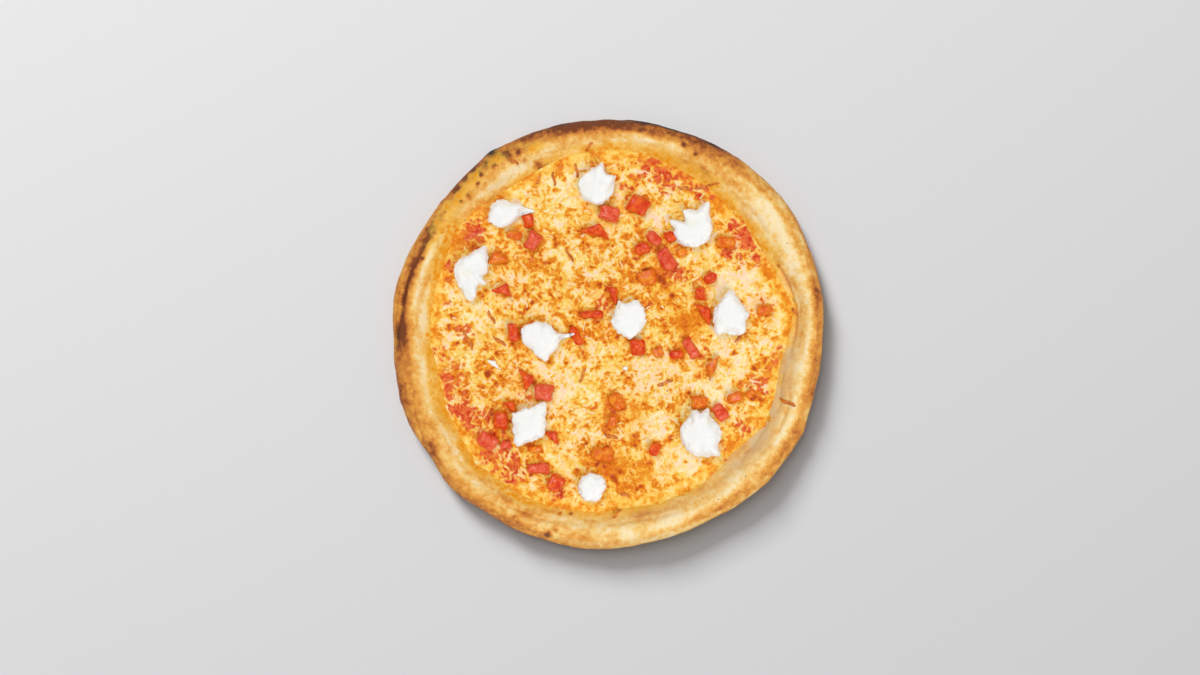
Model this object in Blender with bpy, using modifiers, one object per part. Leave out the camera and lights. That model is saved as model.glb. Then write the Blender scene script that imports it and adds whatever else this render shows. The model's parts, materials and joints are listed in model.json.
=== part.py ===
"""Round cheese pizza with diced tomato and torn fresh mozzarella, as solids at real size.

The dough is a turned section whose rim is then pulled about as a hand-stretched rim is.
Sauce, cheese and toppings are stacked in its well, each a hair's breadth above the last.
Metres, +Z up. The origin is under the middle of the pizza, on the surface that it lies on.
"""
import math
import random

import bmesh
import bpy
from mathutils import Matrix, Vector, noise
from mathutils.bvhtree import BVHTree

MM = 0.001
GAP = 0.3 * MM
SEED = 11

# Dough
RADIUS = 150 * MM
RIM_WIDTH = 27 * MM
RIM_HEIGHT = 20 * MM
CREST_INSET = 11 * MM
GIRTH_HEIGHT = 7.5 * MM
WELL_EDGE_HEIGHT = 8.5 * MM
WELL_FLOOR_HEIGHT = 5 * MM
WELL_WALL_LEAN = 0.4 * MM
UNDERCUT_ANGLE = math.radians(62)
OUTER_STEPS = 7
SLOPE_STEPS = 6
TURN_STEPS = 120
RIM_ROUGHNESS = 0.5 * MM

# Where the rim swells: angle, spread in degrees, then how far it comes out, up and inwards.
RIM_SWELLS = [
    (9, 7, 0.8 * MM, 0, -5 * MM),
    (38, 20, 4.8 * MM, 2 * MM, 2.5 * MM),
    (88, 20, 0.2 * MM, -1 * MM, -4.5 * MM),
    (123, 10, 1 * MM, 0, 0.8 * MM),
    (123, 2.4, 1.4 * MM, 1.4 * MM, 0),
    (142, 10, -1 * MM, -1 * MM, -4 * MM),
    (167, 10, 2 * MM, 1 * MM, 0),
    (192, 8, 1 * MM, 0.5 * MM, 3 * MM),
    (204, 9, 2.2 * MM, 1 * MM, 0),
    (224, 7, 3.6 * MM, 0, -2 * MM),
    (242, 15, 0.6 * MM, -1 * MM, -3 * MM),
    (276, 9, -1 * MM, 0.5 * MM, 2.5 * MM),
    (295, 14, -2.3 * MM, 1 * MM, 2 * MM),
    (316, 9, 1.4 * MM, 1.5 * MM, 5 * MM),
    (330, 8, 1.8 * MM, -1 * MM, 0),
    (348, 9, -1 * MM, 1 * MM, 2.5 * MM),
]

# Folds along the rim: from angle, inset; to angle, inset; depth; width.
RIM_FOLDS = [
    (150, 10 * MM, 187, 3 * MM, 1.8 * MM, 3 * MM),
    (-8, 20 * MM, 26, 19 * MM, 2.5 * MM, 3 * MM),
    (203, 6 * MM, 212, 1 * MM, 1.2 * MM, 2.5 * MM),
    (318, 19 * MM, 332, 22 * MM, 1.6 * MM, 3 * MM),
    (232, 12 * MM, 256, 17 * MM, 1 * MM, 3 * MM),
]

# Sauce and melted cheese
SAUCE_THICKNESS = 1.2 * MM
CHEESE_THICKNESS = 2.4 * MM
CHEESE_EDGE_THICKNESS = 0.8 * MM
CHEESE_EDGE_WIDTH = 9 * MM
CHEESE_MARGIN = 1.8 * MM
CHEESE_DIVISIONS = 24
SHRED_COUNT = 330
SHRED_LENGTH = 15 * MM
SHRED_WIDTH = 3.4 * MM
SHRED_HEIGHT = 1.1 * MM

# Bays where the cheese stops short and the sauce shows: angle, spread in degrees, depth.
CHEESE_BAYS = [
    (5, 5, 4 * MM),
    (34, 11, 9 * MM),
    (72, 13, 5 * MM),
    (150, 12, 3 * MM),
    (196, 13, 7 * MM),
    (226, 12, 7 * MM),
    (300, 9, 3 * MM),
    (325, 14, 5 * MM),
]

# Toasted shreds that stand out: start and end of each, x and y.
TOASTED_WIDTH = 2.2 * MM
TOASTED_HEIGHT = 1.2 * MM
TOASTED_DEPTH = 0.5 * MM
TOASTED_CUTS = 3
SHREDS_ON_DOUGH = [
    ((-16, 127), (-11, 133)),
    ((119, -45), (129, -50)),
    ((3, -128), (9, -122)),
    ((-62, 117), (-68, 121)),
    ((128, 18), (132, 13)),
]
SHREDS_ON_CHEESE = [
    ((-23, 119), (-21, 109)),
    ((-39, 113), (-37, 103)),
    ((-50, 104), (-47, 111)),
    ((48, 102), (57, 101)),
    ((-101, 3), (-94, -11)),
    ((8, -111), (15, -113)),
    ((-30, 60), (-24, 50)),
    ((22, 40), (32, 36)),
    ((-16, -24), (-20, -34)),
    ((34, -36), (45, -32)),
    ((-80, -2), (-71, -8)),
    ((88, -6), (95, 2)),
    ((-3, -70), (7, -73)),
    ((-84, 16), (-79, 7)),
]

# Tomato: height and corner rounding of each cut, then x, y, length, width, turn and cut.
TOMATO_CUTS = {
    "dice": (6.5 * MM, 1.2 * MM),
    "wedge": (5.5 * MM, 1 * MM),
    "strip": (4 * MM, 1 * MM),
    "lump": (5 * MM, 1.6 * MM),
    "crumb": (2.5 * MM, 0.8 * MM),
}
TOMATOES = [
    (-56, 79, 11, 8, 100, "lump"),
    (-66, 69, 11, 6, -15, "strip"),
    (-52, 65, 13, 10, 60, "dice"),
    (-77, 53, 13, 9, 10, "wedge"),
    (-73, 31, 15, 12, -20, "wedge"),
    (-9, 72, 18, 11, -15, "wedge"),
    (0, 84, 15, 10, -15, "dice"),
    (21, 89, 16, 13, -25, "dice"),
    (-12, 14, 16, 6, 0, "strip"),
    (3, 29, 16, 8, -55, "wedge"),
    (32, 67, 12, 8, -45, "lump"),
    (43, 68, 8, 8, -60, "lump"),
    (23, 60, 11, 8, 20, "lump"),
    (40, 53, 15, 10, -60, "lump"),
    (82, 64, 14, 8, -8, "lump"),
    (71, 39, 9, 8, 10, "lump"),
    (64, 28, 9, 8, 90, "dice"),
    (67, 15, 17, 9, -60, "wedge"),
    (109, 17, 11, 8, 10, "lump"),
    (-66, 1, 13, 8, 92, "dice"),
    (-22, -1, 15, 7, -65, "lump"),
    (-57, -31, 15, 11, -75, "wedge"),
    (-45, -41, 13, 12, -5, "dice"),
    (-68, -49, 11, 7, -38, "wedge"),
    (-75, -60, 13, 10, 90, "dice"),
    (-84, -74, 14, 10, -40, "lump"),
    (-71, -77, 8, 6, -10, "crumb"),
    (-38, -71, 13, 9, -40, "wedge"),
    (-51, -80, 9, 5, 0, "crumb"),
    (-49, -93, 16, 7, -5, "strip"),
    (-36, -103, 13, 10, 60, "dice"),
    (-4, -83, 16, 10, -5, "lump"),
    (20, -9, 13, 11, 90, "lump"),
    (57, -9, 15, 7, -58, "strip"),
    (47, -14, 11, 6, 5, "lump"),
    (72, -22, 18, 9, 68, "wedge"),
    (63, -47, 12, 10, 0, "lump"),
    (78, -54, 13, 9, -55, "lump"),
    (88, -44, 12, 8, 15, "lump"),
    (32, -80, 9, 8, -20, "dice"),
    (6, -46, 13, 9, -60, "lump"),
    (3, -60, 10, 7, 75, "lump"),
    (34, -12, 8, 7, 20, "crumb"),
    (27, 40, 12, 10, 15, "crumb"),
    (99, -41, 7, 5, 40, "crumb"),
    (51, 57, 8, 5, 30, "crumb"),
]

# Fresh mozzarella: x, y, radius, height, then the lobes that stick out (or notches, below
# nought) as direction, spread in degrees and reach.
MOZZARELLA = [
    (-9, 102, 11.9, 10, [(77, 6, 5), (50, 9, -2), (25, 7, 3.5)]),
    (-73, 84, 9.6, 8, [(14, 8, 4), (30, 12, 5), (292, 14, -1.5), (205, 25, 2)]),
    (-96, 43, 11, 10, [(58, 20, 10), (25, 12, 2), (272, 22, 9), (305, 7, -4), (321, 7, 4),
                       (342, 12, -3)]),
    (59, 73, 13, 8, [(60, 8, 9.5), (42, 10, 2), (122, 7, 2.5), (139, 9, -6.5), (160, 7, 4.5),
                     (223, 12, 1.5)]),
    (84, 13, 11, 10, [(90, 20, 6.5), (7, 6, 2.5), (308, 16, 5.5), (228, 18, 5), (270, 20, 2)]),
    (14, 11, 11.8, 8, [(122, 9, 3), (99, 8, -2), (54, 10, 2), (273, 9, 3), (214, 12, 1.5)]),
    (-47, -4, 11, 9, [(142, 20, 6), (109, 12, 1.5), (71, 12, 2.5), (10, 6, 8.5), (183, 12, 2),
                      (225, 14, -2.5), (278, 12, 5)]),
    (-55, -62, 11.5, 9, [(54, 12, 8), (36, 12, 3), (319, 14, 2), (236, 13, 8), (152, 12, 2.5)]),
    (64, -71, 14, 11, [(74, 5, 7), (108, 8, 5), (145, 14, 1), (314, 9, 5)]),
    (-11, -106, 9.6, 8, [(38, 10, 1), (250, 8, 1)]),
    (-80, -20, 1.9, 2.4, [(150, 20, 3), (315, 18, 3.5)]),
]
MOZZARELLA_SEGMENTS = 24
NARROW_LOBE = 10
MOZZARELLA_RINGS = 6
MOZZARELLA_ROUGHNESS = 0.07
SETTLE_MARGIN = 4 * MM

# Colour and roughness of each finish
FINISHES = {
    "baked_dough": ((0.70, 0.44, 0.19), 0.7),
    "tomato_sauce": ((0.56, 0.09, 0.02), 0.35),
    "melted_cheese": ((0.87, 0.55, 0.18), 0.4),
    "fresh_mozzarella": ((0.90, 0.89, 0.84), 0.45),
    "tomato": ((0.62, 0.06, 0.02), 0.3),
}


def clear_scene():
    for scene_object in list(bpy.data.objects):
        bpy.data.objects.remove(scene_object, do_unlink=True)


def finish(name):
    """A Principled material in one of the finishes, made once."""
    made = bpy.data.materials.get(name)
    if made:
        return made
    colour, roughness = FINISHES[name]
    made = bpy.data.materials.new(name)
    made.use_nodes = True
    shader = made.node_tree.nodes["Principled BSDF"]
    shader.inputs["Base Color"].default_value = (*colour, 1)
    shader.inputs["Roughness"].default_value = roughness
    shader.inputs["Metallic"].default_value = 0
    return made


def new_object(name, bm, finish_name, collection, sharp_angle=math.radians(50)):
    """A smooth-shaded object made from bm, which is freed."""
    bmesh.ops.recalc_face_normals(bm, faces=bm.faces[:])
    mesh = bpy.data.meshes.new(name)
    bm.to_mesh(mesh)
    bm.free()
    mesh.shade_smooth()
    mesh.set_sharp_from_angle(angle=sharp_angle)
    mesh.materials.append(finish(finish_name))
    made = bpy.data.objects.new(name, mesh)
    collection.objects.link(made)
    return made


def bell(angle, centre, spread):
    """A smooth bump of height 1 round the rim, with all three in degrees."""
    away = (angle - centre + 180) % 360 - 180
    return math.exp(-(away / spread) ** 2)


def swell(angle, column):
    """What the rim's swells add at an angle: column 2 is out, 3 up and 4 inwards."""
    return sum(row[column] * bell(angle, row[0], row[1]) for row in RIM_SWELLS)


def well_radius(angle):
    """From the middle to the foot of the rim's slope, at an angle in degrees."""
    return RADIUS - RIM_WIDTH - swell(angle, 4)


def cheese_radius(angle):
    bays = sum(depth * bell(angle, centre, spread) for centre, spread, depth in CHEESE_BAYS)
    return well_radius(angle) - CHEESE_MARGIN - bays


def smooth_step(value):
    share = min(max(value, 0), 1)
    return share * share * (3 - 2 * share)


# Dough

def rim_section():
    """The turned section, from the middle of the underside round the rim to the well."""
    points = [(0, 0)]
    for step in range(OUTER_STEPS):
        share = step / (OUTER_STEPS - 1)
        angle = -UNDERCUT_ANGLE + share * (UNDERCUT_ANGLE + math.pi / 2)
        inset = CREST_INSET * (1 - math.cos(angle))
        if angle < 0:
            height = GIRTH_HEIGHT * (1 + math.sin(angle) / math.sin(UNDERCUT_ANGLE))
        else:
            height = GIRTH_HEIGHT + (RIM_HEIGHT - GIRTH_HEIGHT) * math.sin(angle)
        points.append((RADIUS - inset, height))
    for step in range(1, SLOPE_STEPS + 1):
        share = step / SLOPE_STEPS
        inset = CREST_INSET + (RIM_WIDTH - CREST_INSET) * share
        fall = 0.5 * (1 + math.cos(math.pi * share))
        bulge = math.cos(math.pi / 2 * share)
        rise = (RIM_HEIGHT - WELL_EDGE_HEIGHT) * (fall + bulge) / 2
        points.append((RADIUS - inset, WELL_EDGE_HEIGHT + rise))
    points.append((RADIUS - RIM_WIDTH - WELL_WALL_LEAN, WELL_FLOOR_HEIGHT))
    points.append((0, WELL_FLOOR_HEIGHT))
    return points


def fold_depth(angle, inset):
    """How far the folds sink the rim's top at an angle and an inset from its edge."""
    depth = 0
    for start, start_inset, end, end_inset, deep, width in RIM_FOLDS:
        along = ((angle - start) % 360) / (end - start)
        if along > 1:
            continue
        middle = start_inset + (end_inset - start_inset) * along
        fade = math.sin(math.pi * along)
        depth += deep * fade * math.exp(-((inset - middle) / width) ** 2)
    return depth


def shape_rim(point):
    """Moves one point of the turned dough to where the hand-stretched dough has it."""
    radius = math.hypot(point.x, point.y)
    if radius < RADIUS - RIM_WIDTH - 2 * WELL_WALL_LEAN:
        return point.copy()
    angle = math.degrees(math.atan2(point.y, point.x))
    inset = RADIUS - radius
    outer_share = smooth_step(1 - inset / RIM_WIDTH)
    upper_share = smooth_step((point.z - WELL_EDGE_HEIGHT) / (RIM_HEIGHT - WELL_EDGE_HEIGHT))
    new_radius = radius + swell(angle, 2) * outer_share - swell(angle, 4) * (1 - outer_share)
    height = point.z + swell(angle, 3) * upper_share
    if point.z > WELL_EDGE_HEIGHT + RIM_ROUGHNESS:
        height -= fold_depth(angle, inset)
        height += RIM_ROUGHNESS * noise.noise(point * 90)
        new_radius += RIM_ROUGHNESS * noise.noise(point * 70 + Vector((3, 0, 0))) * outer_share
    turn = math.radians(angle)
    return Vector((new_radius * math.cos(turn), new_radius * math.sin(turn), height))


def make_dough(collection):
    """A profile turned by a Screw modifier, then shaped point by point."""
    profile = bpy.data.meshes.new("rim_profile")
    points = [(x, 0, z) for x, z in reversed(rim_section())]
    profile.from_pydata(points, [(i, i + 1) for i in range(len(points) - 1)], [])
    turned = bpy.data.objects.new("rim_profile", profile)
    collection.objects.link(turned)
    screw = turned.modifiers.new("turn", "SCREW")
    screw.axis = "Z"
    screw.angle = math.tau
    screw.steps = TURN_STEPS
    screw.render_steps = TURN_STEPS
    screw.use_merge_vertices = True
    screw.merge_threshold = 0.01 * MM
    graph = bpy.context.evaluated_depsgraph_get()
    bm = bmesh.new()
    bm.from_object(turned, graph)
    bpy.data.objects.remove(turned, do_unlink=True)
    bmesh.ops.remove_doubles(bm, verts=bm.verts[:], dist=0.01 * MM)
    for vertex in bm.verts:
        vertex.co = shape_rim(vertex.co)
    bmesh.ops.triangulate(bm, faces=bm.faces[:])
    return new_object("crust", bm, "baked_dough", collection)


# Sauce and cheese

def make_sauce(collection):
    """A thin layer that fills the well up to the foot of the rim."""
    bm = bmesh.new()
    bmesh.ops.create_circle(bm, segments=TURN_STEPS, radius=1, cap_ends=True)
    bottom = WELL_FLOOR_HEIGHT + GAP
    for vertex in bm.verts:
        turn = math.atan2(vertex.co.y, vertex.co.x)
        radius = well_radius(math.degrees(turn)) - WELL_WALL_LEAN - 1.5 * GAP
        vertex.co = Vector((radius * math.cos(turn), radius * math.sin(turn), bottom))
    raised = bmesh.ops.extrude_face_region(bm, geom=bm.faces[:])["geom"]
    corners = [item for item in raised if isinstance(item, bmesh.types.BMVert)]
    bmesh.ops.translate(bm, verts=corners, vec=(0, 0, SAUCE_THICKNESS))
    bmesh.ops.triangulate(bm, faces=bm.faces[:])
    return new_object("sauce", bm, "tomato_sauce", collection)


def shred_marks(draw):
    """Seeded places of the shreds that stand up in the melted cheese."""
    marks = []
    for _ in range(SHRED_COUNT):
        radius = RADIUS * math.sqrt(draw.random())
        turn = draw.uniform(0, math.tau)
        heading = draw.uniform(0, math.pi)
        length = SHRED_LENGTH * draw.uniform(0.6, 1.2)
        middle = Vector((radius * math.cos(turn), radius * math.sin(turn)))
        along = Vector((math.cos(heading), math.sin(heading)))
        marks.append((middle, along, length / 2, draw.uniform(0.6, 1)))
    return marks


def shred_relief(place, marks):
    """Height of the heaped shreds at a place, which flattens out as they pile up."""
    total = 0
    for middle, along, half, strength in marks:
        offset = place - middle
        lengthways = offset.dot(along)
        if abs(lengthways) > half + SHRED_WIDTH:
            continue
        sideways = abs(offset.x * along.y - offset.y * along.x)
        if sideways > 2.5 * SHRED_WIDTH:
            continue
        ends = smooth_step((half + SHRED_WIDTH - abs(lengthways)) / SHRED_WIDTH)
        total += strength * ends * math.exp(-(sideways / SHRED_WIDTH) ** 2)
    return SHRED_HEIGHT * (2.2 * total / (1.2 + total))


def settle(place, seats):
    """How flat the cheese lies at a place: 1 in the open, near 0 under a topping."""
    lift = 1
    for x, y, reach in seats:
        away = math.hypot(place.x - x, place.y - y)
        lift = min(lift, 0.15 + smooth_step((away - reach + SETTLE_MARGIN) / SETTLE_MARGIN))
    return min(lift, 1)


def make_cheese(collection, seats):
    """An even web of triangles drawn to the cheese's outline, with shreds raised on it."""
    draw = random.Random(SEED)
    marks = shred_marks(draw)
    bottom = WELL_FLOOR_HEIGHT + SAUCE_THICKNESS + 2 * GAP
    bm = bmesh.new()
    bmesh.ops.create_circle(bm, segments=6, radius=1, cap_ends=True, cap_tris=True)
    bmesh.ops.subdivide_edges(bm, edges=bm.edges[:], cuts=CHEESE_DIVISIONS - 1, use_grid_fill=True)
    first_corner = math.atan2(1, 0)
    for vertex in bm.verts:
        turn = math.atan2(vertex.co.y, vertex.co.x)
        from_corner = (turn - first_corner) % (math.pi / 3) - math.pi / 6
        hexagon_edge = math.cos(math.pi / 6) / math.cos(from_corner)
        share = math.hypot(vertex.co.x, vertex.co.y) / hexagon_edge
        radius = share * cheese_radius(math.degrees(turn))
        place = Vector((radius * math.cos(turn), radius * math.sin(turn)))
        edge_distance = cheese_radius(math.degrees(turn)) - radius
        fullness = smooth_step(edge_distance / CHEESE_EDGE_WIDTH)
        thickness = CHEESE_EDGE_THICKNESS
        thickness += (CHEESE_THICKNESS - CHEESE_EDGE_THICKNESS) * fullness
        relief = shred_relief(place, marks) * settle(place, seats) * (0.2 + 0.8 * fullness)
        vertex.co = Vector((place.x, place.y, bottom + thickness + relief))
    rim_edges = [edge for edge in bm.edges if edge.is_boundary]
    skirt = bmesh.ops.extrude_edge_only(bm, edges=rim_edges)["geom"]
    for item in skirt:
        if isinstance(item, bmesh.types.BMVert):
            item.co.z = bottom
    hem = [item for item in skirt if isinstance(item, bmesh.types.BMEdge) and item.is_boundary]
    bmesh.ops.contextual_create(bm, geom=hem)
    bmesh.ops.triangulate(bm, faces=bm.faces[:])
    return new_object("cheese", bm, "melted_cheese", collection)


def surface_of(carrier):
    """A tree of the carrier's faces, to measure its height from above."""
    graph = bpy.context.evaluated_depsgraph_get()
    return BVHTree.FromObject(carrier, graph)


def height_at(tree, x, y):
    hit = tree.ray_cast(Vector((x, y, 1)), Vector((0, 0, -1)))[0]
    return hit.z if hit else 0


def make_shred(name, start, end, tree, collection):
    """A strip laid over what it rests on, sunk into it a little so that they fuse."""
    start = Vector(start) * MM
    end = Vector(end) * MM
    along = (end - start).normalized()
    across = Vector((-along.y, along.x)) * TOASTED_WIDTH / 2
    bm = bmesh.new()
    bmesh.ops.create_cube(bm, size=2)
    long_edges = [e for e in bm.edges if abs(e.verts[0].co.x - e.verts[1].co.x) > 1]
    bmesh.ops.subdivide_edges(bm, edges=long_edges, cuts=TOASTED_CUTS)
    for vertex in bm.verts:
        share = (vertex.co.x + 1) / 2
        sag = math.sin(math.pi * share) * 0.4
        side = vertex.co.y * (0.6 if vertex.co.z > 0 else 1)
        place = start.lerp(end, share) + across * (side + sag)
        top = height_at(tree, place.x, place.y)
        height = TOASTED_HEIGHT if vertex.co.z > 0 else -TOASTED_DEPTH
        vertex.co = Vector((place.x, place.y, top + height))
    bmesh.ops.triangulate(bm, faces=bm.faces[:])
    return new_object(name, bm, "melted_cheese", collection)


def fuse_shreds(carrier, rows):
    """Joins toasted shreds to the piece that carries them."""
    tree = surface_of(carrier)
    strips = bpy.data.collections.new(carrier.name + "_shreds")
    bpy.context.scene.collection.children.link(strips)
    for number, (start, end) in enumerate(rows):
        make_shred(f"shred_{number}", start, end, tree, strips)
    fuse = carrier.modifiers.new("fuse", "BOOLEAN")
    fuse.operation = "UNION"
    fuse.operand_type = "COLLECTION"
    fuse.collection = strips
    fuse.solver = "EXACT"
    graph = bpy.context.evaluated_depsgraph_get()
    fused = bpy.data.meshes.new_from_object(carrier.evaluated_get(graph))
    carrier.modifiers.clear()
    carrier.data = fused
    for strip in list(strips.objects):
        bpy.data.objects.remove(strip, do_unlink=True)
    bpy.data.collections.remove(strips)


# Toppings

def rest_on(bm, tree):
    """Lifts a topping until its flat underside clears what it lies on."""
    lowest = min(vertex.co.z for vertex in bm.verts)
    top = 0
    for edge in bm.edges:
        for share in (0, 0.25, 0.5, 0.75):
            place = edge.verts[0].co.lerp(edge.verts[1].co, share)
            top = max(top, height_at(tree, place.x, place.y))
    bmesh.ops.translate(bm, verts=bm.verts[:], vec=(0, 0, top + GAP * 1.3 - lowest))


def make_tomato(number, row, tree, collection):
    """A cut piece of tomato, with uneven corners and a flat underside."""
    x, y, length, width, turn, cut = row
    height, rounding = TOMATO_CUTS[cut]
    draw = random.Random(SEED * 100 + number)
    bm = bmesh.new()
    if cut == "wedge":
        bmesh.ops.create_cone(bm, cap_ends=True, segments=3, radius1=1, radius2=1, depth=2)
        bmesh.ops.scale(bm, vec=(2 / 3, 1 / math.sqrt(3), 0.5), verts=bm.verts[:])
    else:
        bmesh.ops.create_cube(bm, size=1)
    bmesh.ops.scale(bm, vec=(length * MM, width * MM, height), verts=bm.verts[:])
    for vertex in bm.verts:
        vertex.co.x += draw.uniform(-0.1, 0.1) * length * MM
        vertex.co.y += draw.uniform(-0.1, 0.1) * width * MM
        if vertex.co.z > 0:
            vertex.co.z += draw.uniform(-0.2, 0.1) * height
            vertex.co.x *= 0.9
            vertex.co.y *= 0.9
    bmesh.ops.bevel(bm, geom=bm.edges[:], offset=rounding, segments=1, affect="EDGES")
    lowest = min(vertex.co.z for vertex in bm.verts)
    for vertex in bm.verts:
        if vertex.co.z < lowest + rounding / 2:
            vertex.co.z = lowest
    place = Matrix.Translation((x * MM, y * MM, 0)) @ Matrix.Rotation(math.radians(turn), 4, "Z")
    bmesh.ops.transform(bm, matrix=place, verts=bm.verts[:])
    bmesh.ops.triangulate(bm, faces=bm.faces[:])
    rest_on(bm, tree)
    return new_object(f"tomato_{number:02d}", bm, "tomato", collection)


def lobed_radius(radius, lobes, angle):
    return (radius + sum(reach * bell(angle, way, spread) for way, spread, reach in lobes)) * MM


def towards_lobe(angle, lobes):
    """The angle itself, or a narrow lobe's direction where that is nearer than half a step."""
    for way, spread, _ in lobes:
        away = (way - angle + 180) % 360 - 180
        if spread < NARROW_LOBE and abs(away) <= 180 / MOZZARELLA_SEGMENTS:
            return angle + away
    return angle


def make_mozzarella(number, row, tree, collection):
    """A torn lump: a domed ball drawn out into lobes, flat underneath."""
    x, y, radius, height, lobes = row
    bm = bmesh.new()
    bmesh.ops.create_uvsphere(bm, u_segments=MOZZARELLA_SEGMENTS, v_segments=MOZZARELLA_RINGS,
                              radius=1)
    for vertex in bm.verts:
        level = vertex.co.z
        across = math.hypot(vertex.co.x, vertex.co.y)
        turn = math.atan2(vertex.co.y, vertex.co.x)
        turn = math.radians(towards_lobe(math.degrees(turn), lobes))
        rough = 1 + MOZZARELLA_ROUGHNESS * noise.noise(vertex.co * 2.3 + Vector((number, 0, 0)))
        reach = lobed_radius(radius, lobes, math.degrees(turn)) * across ** 0.6 * rough
        rise = max(0, 0.45 + 0.55 * level) ** 0.8 if level > -0.8 else 0
        lumps = 1 + 0.25 * noise.noise(vertex.co * 2 + Vector((0, number, 5)))
        vertex.co = Vector((x * MM + reach * math.cos(turn), y * MM + reach * math.sin(turn),
                            height * MM * rise * lumps))
    bmesh.ops.triangulate(bm, faces=bm.faces[:])
    rest_on(bm, tree)
    return new_object(f"mozzarella_{number:02d}", bm, "fresh_mozzarella", collection)


def topping_seats():
    """Middle and reach of each topping, where the cheese lies flatter."""
    seats = [(x * MM, y * MM, length / 2 * MM) for x, y, length, *_ in TOMATOES]
    return seats + [(x * MM, y * MM, radius * MM) for x, y, radius, *_ in MOZZARELLA]


def centre_pizza(pieces, crust):
    """Hangs every piece from one empty, so that the origin is under the middle."""
    corners = [vertex.co for vertex in crust.data.vertices]
    middle = Vector((0, 0, 0))
    for axis in (0, 1):
        values = [corner[axis] for corner in corners]
        middle[axis] = (min(values) + max(values)) / 2
    centre = bpy.data.objects.new("pizza_centre", None)
    bpy.context.scene.collection.objects.link(centre)
    centre.location = -middle
    for piece in pieces:
        piece.parent = centre


def main():
    clear_scene()
    pizza = bpy.data.collections.new("pizza")
    bpy.context.scene.collection.children.link(pizza)
    crust = make_dough(pizza)
    fuse_shreds(crust, SHREDS_ON_DOUGH)
    make_sauce(pizza)
    cheese = make_cheese(pizza, topping_seats())
    fuse_shreds(cheese, SHREDS_ON_CHEESE)
    tree = surface_of(cheese)
    for number, row in enumerate(MOZZARELLA, start=1):
        make_mozzarella(number, row, tree, pizza)
    for number, row in enumerate(TOMATOES, start=1):
        make_tomato(number, row, tree, pizza)
    centre_pizza(list(pizza.objects), crust)
    bpy.context.view_layer.update()


main()
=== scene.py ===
"""Looks of a round cheese pizza: toasted dough, sauce, melted shreds, tomato and mozzarella.

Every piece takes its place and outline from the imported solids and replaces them.
"""
import itertools
import json
import math
import random

import bpy
import numpy as np
from bpy.props import FloatProperty, FloatVectorProperty, IntProperty, PointerProperty
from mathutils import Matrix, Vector
from mathutils.bvhtree import BVHTree

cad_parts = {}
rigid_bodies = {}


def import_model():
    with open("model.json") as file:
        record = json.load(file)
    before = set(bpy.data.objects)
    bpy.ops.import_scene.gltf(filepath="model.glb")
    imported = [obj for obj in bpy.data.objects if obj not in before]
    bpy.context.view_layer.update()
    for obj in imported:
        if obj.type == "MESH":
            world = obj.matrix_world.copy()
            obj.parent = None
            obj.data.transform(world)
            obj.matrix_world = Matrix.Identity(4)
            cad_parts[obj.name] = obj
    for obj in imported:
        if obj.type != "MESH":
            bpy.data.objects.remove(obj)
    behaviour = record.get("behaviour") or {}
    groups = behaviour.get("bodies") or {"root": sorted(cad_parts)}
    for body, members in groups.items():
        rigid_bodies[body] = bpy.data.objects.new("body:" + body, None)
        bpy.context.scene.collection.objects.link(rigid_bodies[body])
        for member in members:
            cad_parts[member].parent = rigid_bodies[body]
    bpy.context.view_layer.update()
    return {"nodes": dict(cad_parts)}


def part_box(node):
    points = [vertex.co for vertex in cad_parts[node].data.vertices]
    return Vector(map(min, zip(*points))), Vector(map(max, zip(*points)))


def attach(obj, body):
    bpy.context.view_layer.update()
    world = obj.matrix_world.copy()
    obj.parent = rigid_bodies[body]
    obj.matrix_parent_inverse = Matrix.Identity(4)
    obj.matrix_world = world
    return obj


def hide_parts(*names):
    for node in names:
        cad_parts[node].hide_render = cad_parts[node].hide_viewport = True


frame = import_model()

bl_info = {
    "name": "Cheese Pizza",
    "version": (1, 0, 0),
    "blender": (4, 5, 0),
    "location": "3D View > Sidebar > Pizza",
    "description": "Bakes the looks of a cheese pizza round its solids",
    "category": "Add Mesh",
}

MM = 0.001

# Sizes that the rim's pieces share.
RIM_RADIUS = 140 * MM
RIM_WIDTH = 27 * MM
CORE_INSET = 14 * MM
CORE_HEIGHT = 9 * MM
TUBE_GIRTH = 24 * MM
BASE_TOP = 5 * MM
# Where the rim's tube meets the wall of the well, and where its underside begins, in degrees.
WALL_ANGLE = 189
UNDERSIDE_ANGLE = 224
# Sizes of the cheese's map and of its pieces.
MAP_HALF = 134 * MM
MAP_PITCH = 0.4 * MM
SHREDS_REACH = 130 * MM
LOOSE_REACH = 117 * MM
DIMPLES_REACH = 126 * MM
LAYER_HEIGHT = 2.2 * MM
# Where the lights stand, how wide the floor is and where rays start, in metres.
KEY_PLACE = (-1.2, 1.7, 3.4)
FILL_PLACE = (0.95, -1.35, 2.0)
LOW_PLACE = (-2.05, 3.71, 2.65)
FLOOR_WIDTH = 6
ABOVE_ALL = 0.1
BEYOND_ALL = 0.3
# Factors that mix a cell's place into a row of the noise table, and the table's length.
CELL_MIX = (73856093, 19349663, 83492791)
NOISE_ROWS = 4096

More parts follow.
